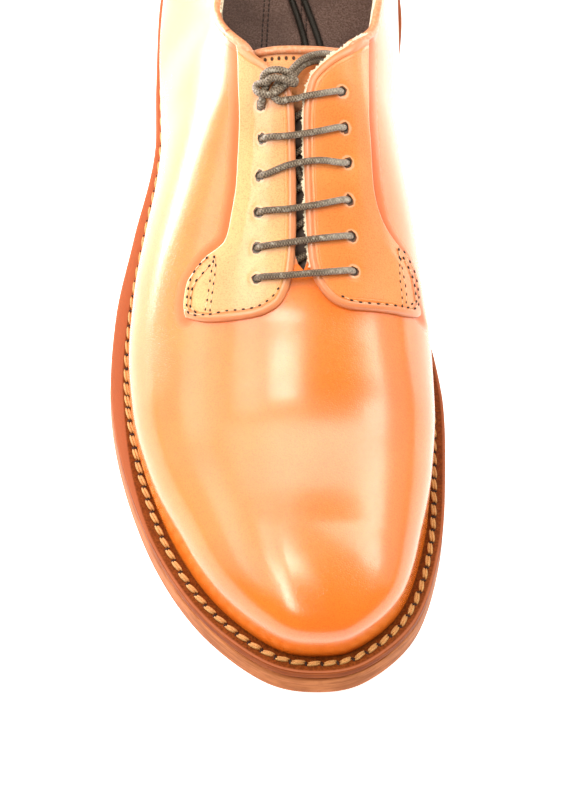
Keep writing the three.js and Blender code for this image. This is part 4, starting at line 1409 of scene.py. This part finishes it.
def under_points(start, end):
    return between(start, end, [(t, 0, BENEATH) for t in (0.06, 0.3, 0.5, 0.7, 0.94)])


def make_lacing():
    """One run: the top bar, then down through the pairs to the lowest, and back up beneath."""
    top = len(EYELETS) - 1
    start = KNOT_INNER[0]
    spots = [start, (start[0] + 3, start[1] - 0.3, OVER), (start[0] + 6.5, start[1] - 1, OVER)]
    spots += bar_points(start[:2], EYELETS[top]["inner"])[-4:]
    for k in range(top, 0, -1):
        spots += under_points(EYELETS[k]["inner"], EYELETS[k - 1]["outer"])
        spots += bar_points(EYELETS[k - 1]["outer"], EYELETS[k - 1]["inner"], EYELETS[k - 1]["bow"])
    spots += under_points(EYELETS[0]["inner"], EYELETS[top]["outer"])
    spots.append((*EYELETS[top]["outer"], -1.2))
    mesh, _ = cord_mesh([above(*spot) for spot in spots], LACE_RADIUS)
    piece("lacing", mesh, [LACE], ["lace_bars"])


make_lacing()


def make_knot():
    for name, route in (("knot_strand_1", KNOT_OUTER), ("knot_strand_2", KNOT_INNER)):
        mesh, _ = cord_mesh([above(*spot) for spot in route], KNOT_RADIUS, 0.4, 16)
        node = ["lace_knot"] if route is KNOT_OUTER else None
        piece(name, mesh, [LACE], node)


make_knot()


# Stitches
def capsule(mesh, middle, way, normal, long, wide, high):
    """A plump stitch lying along a direction on a surface."""
    side = normal.cross(way).normalized()
    turned = Matrix((way * long, side * wide, normal * high)).transposed().to_4x4()
    bmesh.ops.create_uvsphere(mesh, u_segments=10, v_segments=7, radius=0.5 * MM,
                              matrix=Matrix.Translation(middle) @ turned)


def make_fine_stitches():
    threads, holes = bmesh.new(), bmesh.new()
    for route in STITCHED:
        line = catmull(route, 40)
        line = evenly(line, round(length_of(line) / STITCH_PITCH) + 1)
        spots = [above(x, a, FACING_TOP - 0.12) for x, a in line]
        for k, (x, a) in enumerate(line):
            normal = outward_at(x, a)
            way = (spots[min(k + 1, len(spots) - 1)] - spots[max(k - 1, 0)]).normalized()
            # A dark blob at each needle hole: painted shade
            capsule(holes, spots[k], way, normal, 1.25, 0.72, 0.55)
            if k < len(line) - 1:
                middle = (spots[k] + spots[k + 1]) / 2
                way = (spots[k + 1] - spots[k]).normalized()
                capsule(threads, middle, way, normal, 2.1, 0.55, 0.5)
    piece("fine_stitches", threads, [FINE_THREAD])
    piece("needle_holes", holes, [STITCH_HOLE_SHADE])


def make_welt_stitches():
    """Heavy stitches along the welt, each of two strands side by side, with dark holes between."""
    line = []
    for spot, way, reach in zip(EDGE[:, :2], INWARD, EDGE[:, 2]):
        share = 0.84 - 0.29 * ramp(spot[1], 205, 262)
        line.append(spot + way * share * reach)
    line = np.vstack([line, line[:1]])
    line = evenly(line, round(length_of(line) / WELT_PITCH) + 1)
    threads, holes = bmesh.new(), bmesh.new()
    rng = random.Random(7)
    for k in range(len(line) - 1):
        (x0, a0), (x1, a1) = line[k], line[k + 1]
        if (a0 + a1) / 2 < STITCHES_BACK:
            continue
        first, last = on_sole(x0, a0, WELT_TOP), on_sole(x1, a1, WELT_TOP)
        way = (last - first).normalized()
        normal = on_sole(x0, a0, WELT_TOP + 1) - first
        normal = (normal - way * normal.dot(way)).normalized()
        side = normal.cross(way)
        slant = (way + side * (0.16 + rng.uniform(-0.04, 0.04))).normalized()
        middle = (first + last) / 2 + normal * 0.25 * MM
        for strand in (-0.42, 0.42):
            lift = side * strand * MM + way * strand * 0.3 * MM
            long = 4.7 + rng.uniform(-0.2, 0.2)
            capsule(threads, middle + lift, slant, normal, long, 1.15, 1.2)
        # A dark blob at each needle hole: painted shade
        capsule(holes, first + normal * 0.02 * MM, side, normal, 2.1, 0.9, 0.5)
    piece("welt_stitches", threads, [WELT_THREAD])
    piece("welt_holes", holes, [STITCH_HOLE_SHADE])


def make_insole_stitches():
    """Two double rows down the heel of the insole."""
    threads = bmesh.new()
    for route in INSOLE_ROWS:
        for off in (-0.85, 0.85):
            line = evenly(catmull([(x + off, a) for x, a in route], 60), 38)
            for k in range(len(line) - 1):
                ends = line[k:k + 2]
                first, last = (on_sole(x, a, UPPER_SEAT + INSOLE_THICK) for x, a in ends)
                way = (last - first).normalized()
                capsule(threads, (first + last) / 2, way, Vector((0, 0, 1)), 1.75, 0.62, 0.55)
    piece("insole_stitches", threads, [DARK_THREAD])


FINE_THREAD = thread("fine_thread", (244, 206, 160), (214, 150, 98))
WELT_THREAD = thread("welt_thread", (240, 184, 112), (186, 116, 54))
# Painted shade: the needle holes are dark blobs standing for the shade inside them
STITCH_HOLE_SHADE = plain("needle_hole", (36, 16, 8), (58, 28, 14), 0.7)
DARK_THREAD = thread("dark_thread", (70, 44, 36), (34, 18, 14))
make_fine_stitches()
make_welt_stitches()
make_insole_stitches()


# The collar's rolled edge and the ragged cut edges
def collar_line():
    """The collar's edge from one facing's top round the heel to the other's, as (x, a, z)."""
    line = []
    for side in (-1, 1):
        found = []
        for k in range(24):
            a = FIRST + (BEAD_FRONT - FIRST) * k / 23
            arch, _ = rib(a, 0, side, FINE_ARCH_STEPS)
            found.append(point_at(arch, cut_at(arch, side)))
        line.append(found)
    back = []
    for k in range(1, 20):
        arch, _ = heel_rib(math.pi * k / 20, FINE_ARCH_STEPS)
        back.append(point_at(arch, cut_at(arch, 1)))
    return np.array(line[0][::-1] + back + line[1])


def point_at(arch, length):
    run = run_along(arch)
    return tuple(np.interp(length, run, column) for column in arch.T)


def make_collar_bead():
    line = eased(collar_line(), 3)
    middle = line.mean(0)
    spots = []
    for x, a, z in line:
        towards = np.array([middle[0] - x, middle[1] - a])
        towards /= np.linalg.norm(towards)
        sink = ramp(a, BEAD_SINKS, COLLAR_FRONT)
        rise = 1.5 * ramp(a, 84, 94) - 3.2 * sink
        out = 0.3 + 1.5 * sink
        spots.append(place(x - towards[0] * out, a - towards[1] * out, z - 0.9 + rise))
    mesh, _ = cord_mesh(spots, BEAD_RADIUS, 1.2, 16)
    piece("collar_bead", mesh, [BURNISHED])
    return line


def fringe(name, spots, outs, wide, seed):
    """A thin ragged strip of raw fibre along an edge."""
    rng = random.Random(seed)
    count = len(spots) - 1
    ragged = []
    grown = 0.5
    for _ in range(count + 1):
        grown += 0.6 * (rng.random() ** 1.5 * 1.1 - grown)
        ragged.append(wide * grown)

    def point(u, v):
        k = round(u * count)
        return spots[k] + outs[k] * (ragged[k] * v - 0.7 * (1 - v)) * MM, (k * 0.3, v)

    made = piece(name, sheet_of(count, 2, point), [RAW])
    finished(made, ("SOLIDIFY", {"thickness": 0.35 * MM, "offset": 0, "use_rim": True}))


def make_fringes():
    outline = FACINGS["facing_medial"]
    line = np.vstack([catmull(outline["top"], 80), catmull(outline["throat"], 120)[1:]])
    line = evenly(line, 330)[:270]
    spots, outs = [], []
    for k, (x, a) in enumerate(line):
        spots.append(above(x, a, FACING_TOP - 1.1))
        x1, a1 = line[min(k + 1, len(line) - 1)]
        x0, a0 = line[max(k - 1, 0)]
        way = (above(x1, a1, 0) - above(x0, a0, 0)).normalized()
        outs.append(way.cross(outward_at(x, a)).normalized() * -1)
    if outs[150].x > 0:
        outs = [-out for out in outs]
    fringe("raw_fringe_medial", spots, outs, 1.2, 3)
    middle = collar.mean(0)
    first, last = 8, 24
    for name, low, high in (("raw_fringe_outer", first, last),
                            ("raw_fringe_inner", len(collar) - last, len(collar) - first)):
        part = evenly(catmull(collar[low:high], 200), 260)
        inward = [Vector((middle[0] - x, a - middle[1], 0)).normalized() for x, a, z in part]
        spots = [place(x, a, z - 0.2) + way * 1.2 * MM for (x, a, z), way in zip(part, inward)]
        fringe(name, spots, inward, 1.1, 5)


collar = make_collar_bead()
make_fringes()


# Stage
def make_stage():
    mesh = bmesh.new()
    bmesh.ops.create_grid(mesh, x_segments=1, y_segments=1, size=6)
    floor = written("floor", mesh)
    finish = Finish("floor", base_color=(0.92, 0.92, 0.92, 1), roughness=0.9,
                    emission_color=(1, 1, 1, 1), emission_strength=0.9)
    floor.data.materials.append(finish.material)
    world = bpy.data.worlds.new("studio")
    bpy.context.scene.world = world
    world.use_nodes = True
    background = world.node_tree.nodes["Background"]
    background.inputs["Color"].default_value = (1, 1, 1, 1)
    background.inputs["Strength"].default_value = 0.2


WARM, WHITE = (1.0, 0.97, 0.84), (1.0, 1.0, 1.0)


def softbox(name, where, size, brightness, towards=None):
    """A soft light, facing down or towards a place. Its brightness is what a mirror shows."""
    data = bpy.data.lights.new(name, "AREA")
    data.shape = "RECTANGLE"
    data.size, data.size_y = size
    data.color = WARM if where[2] > 1 else WHITE
    data.energy = brightness * math.pi * size[0] * size[1]
    made = in_scene(name, data)
    made.location = where
    if towards:
        made.rotation_euler = (Vector(towards) - Vector(where)).to_track_quat("-Z", "Y").to_euler()


make_stage()
for light in (
    ("top_box", (0.85, 0.46, 1.5), (2.3, 0.52), 6.2),
    ("top_left", (-0.6, 0.46, 1.5), (0.6, 0.5), 4.6),
    ("instep_streak", (-0.08, -0.1, 1.5), (0.27, 0.09), 38),
    ("toe_streak", (-0.5, -0.62, 1.5), (0.34, 0.9), 15),
    ("side_streak", (-0.5, 0.02, 1.5), (0.36, 0.14), 8),
    ("left_strip", (-1.6, -0.1, 1.5), (1.5, 1.1), 3),
    ("left_box", (-1.7, 0.3, 0.9), (2.0, 1.6), 1.5, (0, 0, 0.05)),
    ("right_strip", (1.6, 0.27, 1.5), (0.95, 0.28), 14),
    ("right_box", (1.7, 0.3, 0.9), (1.2, 1.2), 1.2, (0, 0, 0.05)),
    ("rear_card", (-0.42, 0.295, 0.1), (0.34, 0.2), 18, (0, 0.295, 0.1)),
    ("low_left", (-0.6, 0.62, 0.02), (0.9, 0.9), 8, (-0.6, 0.62, 1)),
    ("low_right", (0.6, 0.6, 0.02), (0.9, 0.9), 6, (0.6, 0.6, 1)),
):
    softbox(*light)
bpy.context.scene.view_settings.view_transform = "Standard"
